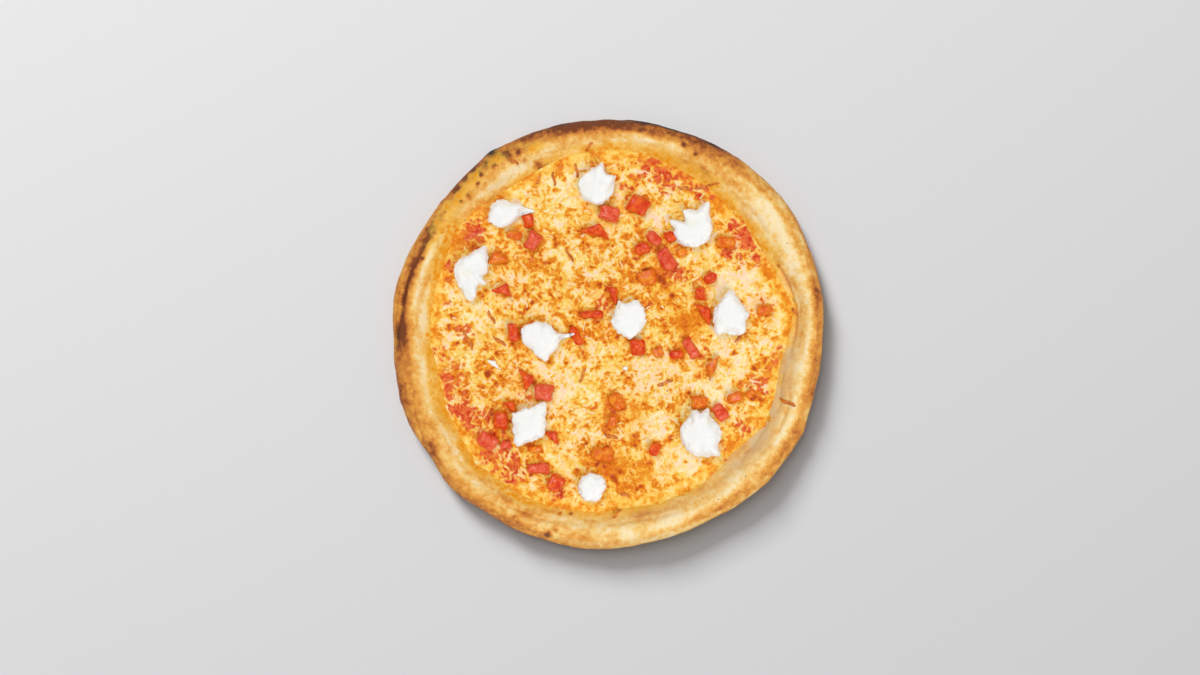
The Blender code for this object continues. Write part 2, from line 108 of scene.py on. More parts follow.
# Toasted places on the rim: angle and share of the way in, their spreads, and how much darker.
TOASTED_PLACES = [
    (76, 0.0, 20, 0.16, 0.20), (98, 0.06, 16, 0.20, 0.16), (92, 0.32, 20, 0.11, 0.34),
    (150, 0.32, 14, 0.09, 0.34), (176, 0.32, 12, 0.11, 0.36), (122, 0.32, 12, 0.10, 0.08),
    (92, 0.20, 18, 0.15, 0.30), (60, 0.32, 12, 0.16, 0.20), (157, 0.34, 9, 0.06, 0.16),
    (170, 0.28, 9, 0.07, 0.28), (182, 0.16, 6, 0.09, 0.34), (165, 0.14, 16, 0.10, 0.08),
    (108, 0.14, 8, 0.12, 0.14), (138, 0.10, 10, 0.06, 0.10), (148, 0.26, 8, 0.06, 0.10),
    (205, 0.50, 20, 0.26, 0.12), (220, 0.16, 9, 0.12, 0.14), (230, 0.70, 10, 0.12, 0.14),
    (308, 0.20, 8, 0.12, 0.10), (240, 0.20, 12, 0.12, 0.14), (298, 0.22, 14, 0.12, 0.12),
    (210, 0.20, 10, 0.14, 0.10), (4, 0.20, 12, 0.10, 0.12), (334, 0.20, 14, 0.10, 0.14),
    (253, 0.26, 1.6, 0.20, 0.22), (264, 0.34, 1.8, 0.16, 0.24), (272, 0.30, 1.6, 0.20, 0.20),
    (279, 0.42, 2.0, 0.16, 0.18), (245, 0.52, 3.0, 0.10, 0.20), (186, 0.42, 7, 0.10, 0.14),
]
# Paler places, in the same way: partly paler dough, and partly painted light that lifts the shaded
# upper-left inner slope and the lower-right outer edge.
PALE_AND_PAINTED_LIGHT_PLACES = [
    (304, 0.04, 20, 0.12, 0.34), (0, 0.05, 12, 0.11, 0.26), (272, 0.04, 14, 0.10, 0.26),
    (152, 0.03, 12, 0.06, 0.22), (335, 0.04, 10, 0.08, 0.14), (22, 0.52, 11, 0.17, 0.46),
    (40, 0.50, 12, 0.22, 0.32), (8, 0.46, 7, 0.16, 0.22), (28, 0.12, 12, 0.14, 0.34),
    (45, 0.05, 8, 0.10, 0.20), (176, 0.78, 4.5, 0.09, 0.50), (160, 0.56, 10, 0.07, 0.40),
    (167, 0.80, 8, 0.06, 0.30), (152, 0.64, 5, 0.06, 0.30), (122, 0.72, 10, 0.15, 0.46),
    (110, 0.62, 5, 0.09, 0.32), (87, 0.66, 2.0, 0.05, 0.70), (79, 0.56, 2.6, 0.06, 0.40),
    (266, 0.24, 22, 0.30, 0.16), (285, 0.30, 14, 0.26, 0.18), (300, 0.52, 18, 0.18, 0.18),
    (335, 0.48, 18, 0.18, 0.24), (200, 0.62, 12, 0.09, 0.28), (190, 0.70, 6, 0.07, 0.30),
    (226, 0.50, 12, 0.12, 0.22), (208, 0.18, 2.4, 0.14, 0.34), (215, 0.66, 7, 0.06, 0.24),
    (250, 0.72, 14, 0.10, 0.16), (357, 0.44, 9, 0.12, 0.22),
]
# Burnt, raw and oil-stained places, in the same way.
CHARRED_PLACES = [
    (61.5, 0.03, 2.2, 0.07, 0.75), (70, 0.0, 3.0, 0.06, 0.7), (77, 0.01, 5.5, 0.07, 0.95),
    (84, 0.02, 4.0, 0.06, 0.7), (122.8, 0.0, 1.7, 0.13, 1.5), (181, 0.13, 3.5, 0.05, 0.6),
    (173, 0.22, 5, 0.03, 0.5), (136, 0.0, 1.0, 0.05, 0.8), (103, 0.02, 3.0, 0.05, 0.4),
]
RAW_PLACES = [
    (335, 0.85, 16, 0.22, 0.9), (318, 0.74, 12, 0.20, 0.8), (352, 0.78, 9, 0.18, 0.7),
    (14, 0.74, 6, 0.10, 0.5), (40, 0.78, 4, 0.08, 0.8), (285, 0.74, 14, 0.16, 0.3),
    (126, 0.74, 5, 0.10, 0.55), (115, 0.66, 3, 0.08, 0.4), (270, 0.14, 20, 0.10, 0.2),
]
OILY_PLACES = [
    (147, 0.52, 7, 0.22, 0.9), (152, 0.80, 9, 0.16, 0.8), (122, 0.24, 6, 0.12, 1.0),
    (131, 0.26, 8, 0.12, 0.9), (140, 0.34, 8, 0.16, 0.9), (112, 0.42, 5, 0.12, 0.6),
    (84, 0.86, 24, 0.18, 0.6), (66, 0.84, 8, 0.16, 0.5), (215, 0.88, 22, 0.14, 0.6),
    (240, 0.86, 12, 0.14, 0.6), (182, 0.92, 12, 0.12, 0.5), (163, 0.90, 12, 0.14, 0.6),
    (200, 0.92, 10, 0.12, 0.5), (4, 0.96, 8, 0.12, 0.7), (40, 0.94, 12, 0.12, 0.9),
    (268, 0.94, 10, 0.12, 0.5), (30, 0.60, 2.0, 0.07, 0.7), (196, 0.74, 8, 0.10, 0.4),
]
# Browned spots on the dough: x, y and reach in millimetres.
BROWNED_SPOTS = [
    (-71, 124, 3.4), (-62, 125, 2.6), (-79, 117, 2.0), (-88, 110, 1.8), (-97, 96, 2.2), (-66, 119, 1.6),
    (-58, 120, 1.8), (-102, 92, 1.6), (-90, 104, 1.4), (-84.5, 118, 2.6), (-93.5, 113.5, 2.2),
    (-104.7, 100, 2.4), (-99, 107, 1.8), (-65, -126, 1.6), (-36, -135.5, 2.2), (-34, -125, 1.5),
    (-42, -139, 2.0), (-26, -125, 1.6), (-61.5, -109, 1.8), (-45, 113, 3.6), (-39, 109, 2.8),
    (-50, 118, 2.4), (6, -121, 1.8), (118, 47, 1.4), (52, 131, 1.6), (-128, 52, 1.6), (60, 124, 1.4),
]
# Creases along the rim: start angle and share, end angle and share, depth and width in millimetres.
RIM_CREASES = [
    (146, 0.36, 188, 0.14, 2.0, 1.3), (152, 0.20, 178, 0.08, 1.0, 1.0),
    (158, 0.28, 192, 0.06, 0.7, 0.8), (352, 0.80, 386, 0.84, 2.2, 1.4),
    (315, 0.70, 334, 0.92, 1.4, 1.4), (326, 0.50, 346, 0.66, 1.0, 1.3),
    (335, 0.78, 352, 0.92, 1.0, 1.2), (202, 0.26, 213, 0.06, 1.2, 1.1),
    (232, 0.44, 258, 0.64, 0.8, 1.2), (256, 0.30, 281, 0.40, 0.6, 1.1), (58, 0.16, 100, 0.10, 0.6, 1.0),
    (268, 0.66, 300, 0.58, 0.7, 1.2), (30, 0.66, 48, 0.78, 0.9, 1.2), (104, 0.20, 134, 0.16, 0.6, 1.1),
]
# Places in the cheese: x, y, reach in millimetres, how much more orange and how much smoother.
CHEESE_PLACES = [
    (53, 8, 10, 0.62, 1.0), (18, -52, 10, 0.40, 0.8), (3, -93, 14, 0.46, 0.95), (26, -98, 9, 0.40, 0.8),
    (-12, -104, 9, 0.25, 0.3), (33, 42, 9, 0.3, 0.4), (-100, 78, 26, 0.18, 0), (-92, -40, 22, 0.16, 0),
    (-70, -66, 24, 0.12, 0), (24, 40, 24, 0.12, 0), (-30, 42, 28, 0.14, 0), (86, 38, 15, -0.22, 0),
    (78, -32, 17, -0.22, 0.2), (44, -86, 16, -0.18, 0.4), (-24, -36, 16, -0.08, 0),
    (-46, 94, 16, -0.20, 0.1), (26, 74, 12, -0.10, 0), (-92, 14, 13, -0.18, 0.3),
    (-30, -90, 10, -0.16, 0.3), (112, -22, 10, 0.20, 0), (111, 39, 6.5, -0.34, 0.95),
    (118, 27, 6.5, -0.34, 0.95), (121, 14, 6, -0.26, 0.9), (-104, 30, 9, -0.10, 0.3),
]
# Dark toasted spots in the cheese: x, y and reach in millimetres.
TOASTED_SPOTS = [
    (-3, -65.5, 3.2), (-21.8, -96.9, 2.8), (-86.6, 27.8, 3.4), (-110.3, 4.8, 2.6), (3.3, -100.4, 2.4),
    (92.4, 54.3, 3.0), (-66.4, -93.4, 2.8), (-63.6, 25.7, 2.2), (-57.3, 32.7, 2.4), (-104, 3, 2.4),
    (-96, -6, 2.6), (-36, 100, 2.4), (-34, 112, 2.6), (86, 88, 2.4), (66, 104, 2.6), (-93, 60, 2.6),
    (38, 36, 2.6), (22, 8, 1.8), (-40, 28, 1.8), (102, -24, 2.2), (44, -18, 2.0), (8, 50, 2.2),
    (-6, 34, 1.8), (-84, -28, 2.2), (46, 115, 2.8), (54, 112, 3.2), (64, 107, 3.0), (74, 101, 2.8),
    (38, 118, 2.4), (84, 92, 2.6), (98, 78, 2.8), (104, 68, 2.4), (109, 57, 2.4), (112, -30, 2.4),
    (106, -46, 2.6), (98, -60, 2.2), (-101, -53, 2.4), (-79, -89, 2.6), (-58, -103, 2.2),
    (-112, 38, 2.2), (-104, 62, 2.6),
]
# Toasted shreds, as in the solids: x and y of the start and the end in millimetres.
TOASTED_SHREDS = [
    (-16, 127, -11, 133), (119, -45, 129, -50), (3, -128, 9, -122), (-62, 117, -68, 121),
    (128, 18, 132, 13), (-23, 119, -21, 109), (-39, 113, -37, 103), (-50, 104, -47, 111),
    (48, 102, 57, 101), (-101, 3, -94, -11), (8, -111, 15, -113), (-30, 60, -24, 50), (22, 40, 32, 36),
    (-16, -24, -20, -34), (34, -36, 45, -32), (-80, -2, -71, -8), (88, -6, 95, 2), (-3, -70, 7, -73),
    (-84, 16, -79, 7), (60, 101, 77, 105),
]
# Sauce that shows between the shreds: x, y and reach in millimetres, then how much.
SAUCY_PLACES = [
    (-109, -29, 10, 1.3), (-106, -46, 9, 1.0), (-98, -60, 9, 0.9), (-82, -82, 11, 1.0),
    (-68, -96, 12, 1.1), (-36, -113, 8, 0.9), (29, 116, 10, 1.3), (44, 107, 9, 1.0), (90, 76, 9, 1.1),
    (98, 65, 9, 1.2), (105, 52, 7, 1.0), (110, 20, 7, 1.2), (116, -16, 8, 1.0), (75, -84, 10, 0.7),
    (96, -66, 9, 0.8), (-94, 72, 9, 1.0), (-108, 50, 7, 0.9), (-100, 2, 8, 0.8), (48, 42, 9, 0.6),
    (-42, 8, 12, 0.35), (60, -14, 10, 0.55), (104, -36, 9, 0.8), (-112, 22, 6, 0.6),
    (-84, -66, 14, 0.5), (66, 98, 10, 0.8), (14, 100, 10, 0.6), (84, 52, 12, 0.5), (4, -50, 9, 0.55),
    (-54, -44, 12, 0.4), (60, 110, 7, 0.8), (-12, 116, 7, 0.5), (-118, -12, 7, 0.7), (-4, 22, 10, 0.4),
]
# Thin wisps of mozzarella over what lies next to it: its number, then direction and spread in
# degrees and reach in millimetres.
WISPS = [
    (2, 4, 13, 9), (7, 13, 9, 5),
]
# Numbers of the tomato pieces that lie under oil, and of those with their flesh up.
OILED_TOMATOES = (2, 4, 15, 19, 29, 32, 36, 37, 39, 41, 42, 43, 44, 45, 46)
FLESHY_TOMATOES = (3, 7, 11, 14, 23, 26, 27, 30, 34, 38)


def paint(red, green, blue):
    """A display colour, each part 0 to 255, as the linear values that a shader takes."""
    shares = [part / 255 for part in (red, green, blue)]
    return tuple(s / 12.92 if s <= 0.04045 else ((s + 0.055) / 1.055) ** 2.4 for s in shares)


def colour_property(name, text, display):
    return FloatVectorProperty(name=name, description=text, subtype="COLOR", size=3, min=0, max=1,
                               default=paint(*display))


def length_property(name, text, default):
    return FloatProperty(name=name, description=text, default=default, min=0, unit="LENGTH",
                         precision=5)


def count_property(name, text, default, least=0):
    return IntProperty(name=name, description=text, default=default, min=least)


def share_property(name, text, default, **limits):
    return FloatProperty(name=name, description=text, default=default, min=0, **limits)


def power_property(name, text, default):
    return share_property(name, text, default, unit="POWER")


def place_property(name, text, default):
    return FloatProperty(name=name, description=text, default=default, unit="LENGTH", precision=5)


# Settings

class StageSettings(bpy.types.PropertyGroup):
    floor_colour: colour_property("Floor", "Plain pale floor", (177, 177, 178))
    sky_colour: colour_property("Sky", "Even light from all round", (255, 255, 255))
    sky_strength: share_property("Sky strength", "Even light", 0.42)
    key_power: power_property("Key power", "Soft light from the upper left", 56)
    key_size: length_property("Key size", "Width of the soft light", 2.2)
    fill_power: power_property("Fill power", "Broad light from the lower right", 30)
    fill_size: length_property("Fill size", "Width of the broad light", 1.6)
    low_power: power_property("Low power", "Low light that reaches only the floor", 440)
    low_size: length_property("Low size", "Width of the low light", 1.6)
    camera_height: length_property("Camera height", "Above the floor", 1.2)
    view_width: length_property("View width", "Width of the floor in the picture", 0.8428)
    view_x: place_property("View x", "Middle of the picture across", -5.8 * MM)
    view_y: place_property("View y", "Middle of the picture upwards", -2.5 * MM)


class CrustSettings(bpy.types.PropertyGroup):
    columns: count_property("Columns", "Steps round the rim", 840, 60)
    rings: count_property("Rings", "Steps round its section", 84, 24)
    cream: colour_property("Cream", "Least baked dough", (254, 232, 184))
    pale: colour_property("Pale", "Lightly baked dough", (250, 206, 122))
    golden: colour_property("Golden", "Baked dough", (234, 162, 66))
    brown: colour_property("Brown", "Toasted dough", (196, 114, 48))
    dark: colour_property("Dark", "Well toasted dough", (128, 66, 30))
    char: colour_property("Char", "Burnt dough", (44, 30, 24))
    raw: colour_property("Raw", "Greyish steamed dough", (228, 200, 152))
    oil: colour_property("Oil", "Faint stain of cheese oil", (252, 204, 80))
    deep_oil: colour_property("Deep oil", "Strong stain of cheese oil", (240, 156, 22))
    lump_height: length_property("Lumps", "Height of the broad lumps", 0.7 * MM)
    grain_height: length_property("Grain", "Height of the fine grain", 0.12 * MM)
    blisters: count_property("Blisters", "Small raised bubbles", 150)
    pores: count_property("Pores", "Small pits", 160)
    scorched: colour_property("Scorched", "Burnt specks", (120, 62, 22))
    scorched_pale: colour_property("Scorched pale", "Their paler sides", (176, 100, 40))


class SauceSettings(bpy.types.PropertyGroup):
    divisions: count_property("Divisions", "Steps out from the middle", 90, 6)
    bright: colour_property("Bright", "Thin oily sauce", (230, 120, 34))
    deep: colour_property("Deep", "Thick sauce", (190, 50, 14))
    lump_height: length_property("Lumps", "Height of its lumps", 0.35 * MM)


class CheeseSettings(bpy.types.PropertyGroup):
    divisions: count_property("Divisions", "Steps out from the middle", 160, 6)
    strands: count_property("Strands", "Melted shreds in the layer", 13000)
    loose_strands: count_property("Loose strands", "Shreds that stand out", 150)
    strand_length: length_property("Strand length", "Of one shred", 6.5 * MM)
    strand_width: length_property("Strand width", "Of one shred", 1.5 * MM)
    spill: length_property("Spill", "How far melted cheese runs up the rim", 6 * MM)
    dimples: count_property("Dimples", "Browned dimples", 400)
    specks: count_property("Specks", "Small oily specks", 1000)
    cream: colour_property("Cream", "Palest shreds", (255, 236, 184))
    pink: colour_property("Pink", "Shreds over sauce", (255, 218, 186))
    butter: colour_property("Butter", "Melted shreds", (253, 218, 122))
    yellow: colour_property("Yellow", "Oiled shreds", (250, 194, 70))
    orange: colour_property("Orange", "Oil between shreds", (238, 146, 20))
    amber: colour_property("Amber", "Deep oil", (216, 100, 8))
    brown: colour_property("Brown", "Toasted spots", (172, 66, 8))
    sauce: colour_property("Sauce", "Sauce that shows through", (204, 46, 8))
    thin_sauce: colour_property("Thin sauce", "Oily sauce", (240, 126, 58))
    toasted: colour_property("Toasted", "Toasted shreds", (182, 84, 14))
    toasted_pale: colour_property("Toasted pale", "Their paler places", (234, 140, 38))


class ToppingSettings(bpy.types.PropertyGroup):
    skin: colour_property("Skin", "Tomato skin", (220, 52, 6))
    skin_pale: colour_property("Skin pale", "Its paler places", (244, 104, 20))
    flesh: colour_property("Flesh", "Cut tomato", (240, 106, 70))
    flesh_deep: colour_property("Flesh deep", "Its redder places", (222, 60, 16))
    oiled: colour_property("Oiled", "Tomato under cheese oil", (230, 98, 6))
    oiled_pale: colour_property("Oiled pale", "Its paler places", (246, 150, 34))
    juice: colour_property("Juice", "Oily juice round its foot", (234, 110, 24))
    tomato_sink: length_property("Tomato sink", "How far tomato sits in the cheese", 0.8 * MM)
    white: colour_property("White", "Fresh mozzarella", (250, 250, 246))
    # The shade colour is painted shade in the mozzarella's hollows and at its foot.
    shade: colour_property("Shade", "Its thin, wet places", (244, 238, 222))
    tomato_lean: share_property("Tomato lean", "How far its sides lean in", 0.07, max=0.5)
    mozzarella_sink: length_property("Mozzarella sink", "How far it sits in the cheese", 0.7 * MM)
    rag: length_property("Rag", "Height of the torn lumps", 0.8 * MM)
    tear: length_property("Tear", "Depth of its ragged edge", 0.9 * MM)
    crumbs: count_property("Crumbs", "Scorched specks", 36)


# Modelling helpers

def numbers_of(kind):
    """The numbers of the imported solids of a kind, in order."""
    return sorted(int(name[-2:]) for name in frame["nodes"] if name.startswith(kind))


def start_piece():
    """Object mode with nothing selected, so that an operator acts on the new piece alone."""
    if bpy.context.object and bpy.context.object.mode != "OBJECT":
        object_mode()
    bpy.ops.object.select_all(action="DESELECT")


def edit_mode(action="SELECT"):
    """Edit mode with all of the active piece selected, or with nothing."""
    bpy.ops.object.mode_set(mode="EDIT")
    bpy.ops.mesh.select_all(action=action)


def object_mode():
    bpy.ops.object.mode_set(mode="OBJECT")


def face_outwards():
    bpy.ops.mesh.select_all(action="SELECT")
    bpy.ops.mesh.normals_make_consistent(inside=False)


def take(piece):
    start_piece()
    piece.select_set(True)
    bpy.context.view_layer.objects.active = piece


def named(name):
    """The object that was just added, under its name."""
    piece = bpy.context.object
    piece.name = name
    piece.data.name = name
    return piece


def copy_solid(solid, name):
    """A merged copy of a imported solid, to work a piece out of."""
    packed = frame["nodes"][solid]
    piece = packed.copy()
    piece.data = piece.data.copy()
    piece.parent = None
    piece.matrix_world = packed.matrix_world.copy()
    piece.name = name
    piece.data.name = name
    piece.data.materials.clear()
    bpy.context.scene.collection.objects.link(piece)
    piece.hide_viewport = False
    piece.hide_set(False)
    take(piece)
    edit_mode()
    bpy.ops.mesh.remove_doubles(threshold=0.01 * MM)
    object_mode()
    return piece


def apply_modifier(piece, kind, **settings):
    modifier = piece.modifiers.new(kind.lower(), kind)
    for key, value in settings.items():
        setattr(modifier, key, value)
    take(piece)
    bpy.ops.object.modifier_apply(modifier=modifier.name)


def points_of(piece):
    values = np.empty(len(piece.data.vertices) * 3)
    piece.data.vertices.foreach_get("co", values)
    return values.reshape(-1, 3)


def set_points(piece, points):
    piece.data.vertices.foreach_set("co", points.astype(np.float32).ravel())
    piece.data.update()


def turn_of(points):
    """Each point's angle round the middle of the pizza, in radians."""
    return np.arctan2(points[:, 1], points[:, 0])


def radius_of(points):
    """Each point's distance from the upright axis through the middle."""
    return np.hypot(points[:, 0], points[:, 1])


def normals_of(piece):
    values = np.empty(len(piece.data.vertices) * 3)
    piece.data.vertex_normals.foreach_get("vector", values)
    return values.reshape(-1, 3)


def write_attributes(piece, **layers):
    """Values at each point of a piece, for its material to read."""
    for name, values in layers.items():
        layer = piece.data.attributes.new(name, "FLOAT", "POINT")
        layer.data.foreach_set("value", np.asarray(values, dtype=np.float32).ravel())


def mesh_piece(name, points, corners):
    """A smooth piece made of lists of point and face arrays."""
    mesh = bpy.data.meshes.new(name)
    mesh.from_pydata(np.concatenate(points).tolist(), [], np.concatenate(corners).tolist())
    piece = bpy.data.objects.new(name, mesh)
    bpy.context.scene.collection.objects.link(piece)
    shade_smooth(piece)
    return piece


def shade_smooth(piece):
    take(piece)
    bpy.ops.object.shade_smooth()


def hand_over(piece, slot, material, *nodes):
    """Gives a finished piece its material and the root body, and hides the solids it replaces; its slot
    is not used.
    """
    piece.data.materials.clear()
    piece.data.materials.append(material)
    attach(piece, "root")
    if nodes:
        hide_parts(*nodes)


def cloud(points, size, seed):
    """Smooth random values from -1 to 1 at each point, in lumps of a given size."""
    table = np.random.default_rng(seed).uniform(-1, 1, NOISE_ROWS)
    grid = points / size
    cell = np.floor(grid).astype(np.int64)
    part = grid - cell
    part = part * part * (3 - 2 * part)
    total = np.zeros(len(points))
    for corner in itertools.product((0, 1), repeat=points.shape[1]):
        key = (cell + corner) @ np.array(CELL_MIX)[:points.shape[1]]
        weight = np.prod(np.where(np.array(corner, dtype=bool), part, 1 - part), axis=1)
        total += table[key % NOISE_ROWS] * weight
    return total


def step(values, low, high):
    """0 below low, 1 above high and smooth between."""
    share = np.clip((values - low) / (high - low), 0, 1)
    return share * share * (3 - 2 * share)


def bell(angle, centre, spread):
    """1 at an angle in degrees and less to both sides of it."""
    away = (angle - centre + 180) % 360 - 180
    return np.exp(-(away / spread) ** 2)


def patches(angle, share, places):
    """Sum of soft patches on the rim, each at an angle and a share of the way in."""
    total = np.zeros_like(angle)
    for where, inset, wide, deep, amount in places:
        total += amount * bell(angle, where, wide) * np.exp(-((share - inset) / deep) ** 2)
    return total


def tree_of(piece):
    return BVHTree.FromObject(piece, bpy.context.evaluated_depsgraph_get())


def outline_of(solid, height):
    """A function from angles to the radius of a solid's outline at a height."""
    form = copy_solid(solid, "outline_form")
    tree = tree_of(form)
    angles = np.radians(np.arange(0, 360, 1.0))
    reach = []
    for angle in angles:
        way = Vector((math.cos(angle), math.sin(angle), 0))
        hit = tree.ray_cast(way * BEYOND_ALL + Vector((0, 0, height)), -way)[0]
        reach.append(hit.xy.length)
    bpy.data.objects.remove(form, do_unlink=True)
    reach = np.convolve(np.tile(reach, 3), np.ones(5) / 5, "same")[360:720]
    return lambda turn: np.interp(turn, angles, reach, period=math.tau)


def layer_disc(name, cuts, outline, bottom):
    """A closed flat layer: an even web of triangles drawn out to an outline."""
    start_piece()
    bpy.ops.mesh.primitive_circle_add(vertices=6, radius=1, fill_type="TRIFAN",
                                      location=(0, 0, 0))
    piece = named(name)
    edit_mode()
    for parts in cuts:
        bpy.ops.mesh.subdivide(number_cuts=parts - 1)
    object_mode()
    points = points_of(piece)
    turn = turn_of(points)
    from_corner = (turn - math.pi / 2) % (math.pi / 3) - math.pi / 6
    hexagon_edge = math.cos(math.pi / 6) / np.cos(from_corner)
    share = radius_of(points) / hexagon_edge
    radius = share * outline(turn)
    flat = np.stack([radius * np.cos(turn), radius * np.sin(turn), np.full(len(turn), bottom)], 1)
    set_points(piece, flat)
    edit_mode()
    bpy.ops.mesh.region_to_loop()
    bpy.ops.mesh.extrude_region_move(TRANSFORM_OT_translate={"value": (0, 0, -0.1 * MM)})
    bpy.ops.mesh.edge_face_add()
    face_outwards()
    object_mode()
    return piece, len(turn), share


# Material helpers

def node(tree, kind, inputs=None, **settings):
    """A shader node with its settings, and its inputs by name or number."""
    made = tree.nodes.new(kind)
    for key, value in settings.items():
        setattr(made, key, value)
    for key, value in (inputs or {}).items():
        if isinstance(value, bpy.types.NodeSocket):
            tree.links.new(value, made.inputs[key])
        else:
            made.inputs[key].default_value = value
    return made


def opaque(colour):
    return (*colour, 1)


def blend(tree, share, first, second):
    """Two colours mixed by a share."""
    first, second = (colour if isinstance(colour, bpy.types.NodeSocket) else opaque(colour)
                     for colour in (first, second))
    mixed = node(tree, "ShaderNodeMix", {0: share, 6: first, 7: second}, data_type="RGBA")
    return mixed.outputs[2]


def maths(tree, operation, first, second, clamp=False):
    made = node(tree, "ShaderNodeMath", {0: first, 1: second}, operation=operation)
    made.use_clamp = clamp
    return made.outputs[0]


def ramp(tree, value, stops, smooth=True):
    """A colour read off a ramp of (place, colour) stops."""
    made = node(tree, "ShaderNodeValToRGB", {0: value})
    made.color_ramp.interpolation = "EASE" if smooth else "LINEAR"
    elements = made.color_ramp.elements
    elements[0].position, elements[0].color = stops[0][0], opaque(stops[0][1])
    elements[1].position, elements[1].color = stops[-1][0], opaque(stops[-1][1])
    for place, colour in stops[1:-1]:
        element = elements.new(place)
        element.color = opaque(colour)
    return made.outputs[0]


def reading(tree, name):
    return node(tree, "ShaderNodeAttribute", attribute_name=name).outputs["Fac"]


def speckle(tree, size, detail, roughness=0.5):
    """Noise in lumps of a given size, on the object's own coordinates."""
    place = node(tree, "ShaderNodeTexCoord").outputs["Object"]
    inputs = {"Vector": place, "Scale": 1 / size, "Detail": detail, "Roughness": roughness}
    return node(tree, "ShaderNodeTexNoise", inputs).outputs["Fac"]


def spread(tree, noise, amount):
    """Noise about 0.5 turned into values from about -amount to amount."""
    return maths(tree, "MULTIPLY", maths(tree, "SUBTRACT", noise, 0.5), 2 * amount)


def roughened(tree, value, size, detail, amount):
    """A value made uneven by noise in lumps of a given size."""
    return maths(tree, "ADD", value, spread(tree, speckle(tree, size, detail), amount))


def kept_to(tree, value, name, gain):
    """A value only where an attribute is, within 0 and 1."""
    mask = maths(tree, "MULTIPLY", reading(tree, name), gain, clamp=True)
    return maths(tree, "MULTIPLY", value, mask, clamp=True)


def set_finish(tree, shader, colour, constants):
    """Links the colour and sets the constants straight on the shader's own sockets."""
    tree.links.new(colour, shader.inputs["Base Color"])
    for name, value in constants.items():
        shader.inputs[name].default_value = value


def new_material(name):
    material = bpy.data.materials.new(name)
    material.use_nodes = True
    tree = material.node_tree
    return material, tree, tree.nodes["Principled BSDF"]


def set_bump(tree, shader, height, distance, strength=0.6):
    bump = node(tree, "ShaderNodeBump",
                {"Height": height, "Distance": distance, "Strength": strength})
    tree.links.new(bump.outputs[0], shader.inputs["Normal"])


def baked_dough():
    """Dough from cream to brown by how far it is baked, with char, oil and raw places."""
    look = bpy.context.scene.pizza_crust
    material, tree, shader = new_material("baked_dough_looks")
    bake = roughened(tree, reading(tree, "bake"), 3.5 * MM, 4, 0.30)
    bake = roughened(tree, bake, 1.2 * MM, 3, 0.22)
    crumb = ramp(tree, bake, [(0.02, look.cream), (0.26, look.pale), (0.52, look.golden),
                              (0.80, look.brown), (1.0, look.dark)], smooth=False)
    raw = maths(tree, "MULTIPLY", reading(tree, "raw"), 0.8, clamp=True)
    crumb = blend(tree, raw, crumb, look.raw)
    oil = roughened(tree, reading(tree, "oil"), 3.2 * MM, 4, 0.8)
    stain = ramp(tree, oil, [(0.45, look.oil), (1.2, look.deep_oil)], smooth=False)
    crumb = blend(tree, kept_to(tree, oil, "oil", 3), crumb, stain)
    char = roughened(tree, reading(tree, "char"), 2 * MM, 3, 0.3)
    burnt = maths(tree, "GREATER_THAN", reading(tree, "char"), 0.05)
    crumb = blend(tree, maths(tree, "MULTIPLY", char, burnt, clamp=True), crumb, look.char)
    set_finish(tree, shader, crumb, {
        "Roughness": 0.6,
        "Specular IOR Level": 0.2,
        "Subsurface Weight": 0.06,
        "Subsurface Radius": (1.0, 0.5, 0.25),
        "Subsurface Scale": 1.2 * MM,
    })
    set_bump(tree, shader, speckle(tree, 1.0 * MM, 4, 0.6), 0.6 * MM)
    return material


def tomato_sauce():
    """Thin sauce, redder where it is thick, with a wet coat."""
    look = bpy.context.scene.pizza_sauce
    material, tree, shader = new_material("tomato_sauce_looks")
    body = ramp(tree, speckle(tree, 5 * MM, 4, 0.6), [(0.3, look.deep), (0.62, look.bright)])
    set_finish(tree, shader, body, {"Roughness": 0.32, "Coat Weight": 0.3, "Coat Roughness": 0.15})
    set_bump(tree, shader, speckle(tree, 1.4 * MM, 3), 0.5 * MM)
    return material


def melted_cheese():
    """Cream to brown by the tone that each place of the cheese was given."""
    look = bpy.context.scene.pizza_cheese
    material, tree, shader = new_material("melted_cheese_looks")
    tone = roughened(tree, reading(tree, "tone"), 2.4 * MM, 4, 0.30)
    tone = roughened(tree, tone, 0.9 * MM, 3, 0.26)
    strong = maths(tree, "SUBTRACT", maths(tree, "MULTIPLY", tone, 0.95), 0.05)
    body = ramp(tree, strong, [(0.0, look.cream), (0.17, look.butter), (0.36, look.yellow),
                               (0.53, look.orange), (0.84, look.amber), (1.15, look.brown)],
                smooth=False)
    paleness = maths(tree, "SUBTRACT", 1.2, maths(tree, "MULTIPLY", tone, 2.1))
    blush = maths(tree, "MULTIPLY", reading(tree, "pink"), paleness, clamp=True)
    body = blend(tree, blush, body, look.pink)
    wet = ramp(tree, speckle(tree, 2.6 * MM, 5, 0.7), [(0.40, look.sauce), (0.60, look.thin_sauce)],
               smooth=False)
    bare = roughened(tree, reading(tree, "sauce"), 1.6 * MM, 3, 0.9)
    body = blend(tree, kept_to(tree, bare, "sauce", 2.5), body, wet)
    set_finish(tree, shader, body, {
        "Specular IOR Level": 0.2,
        "Subsurface Weight": 0.08,
        "Subsurface Radius": (1.0, 0.45, 0.12),
        "Subsurface Scale": 1.0 * MM,
    })
    shine = node(tree, "ShaderNodeMapRange", {0: tone, 1: 0.2, 2: 0.9, 3: 0.46, 4: 0.26})
    tree.links.new(shine.outputs[0], shader.inputs["Roughness"])
    set_bump(tree, shader, speckle(tree, 0.8 * MM, 3), 0.25 * MM, 0.5)
    return material


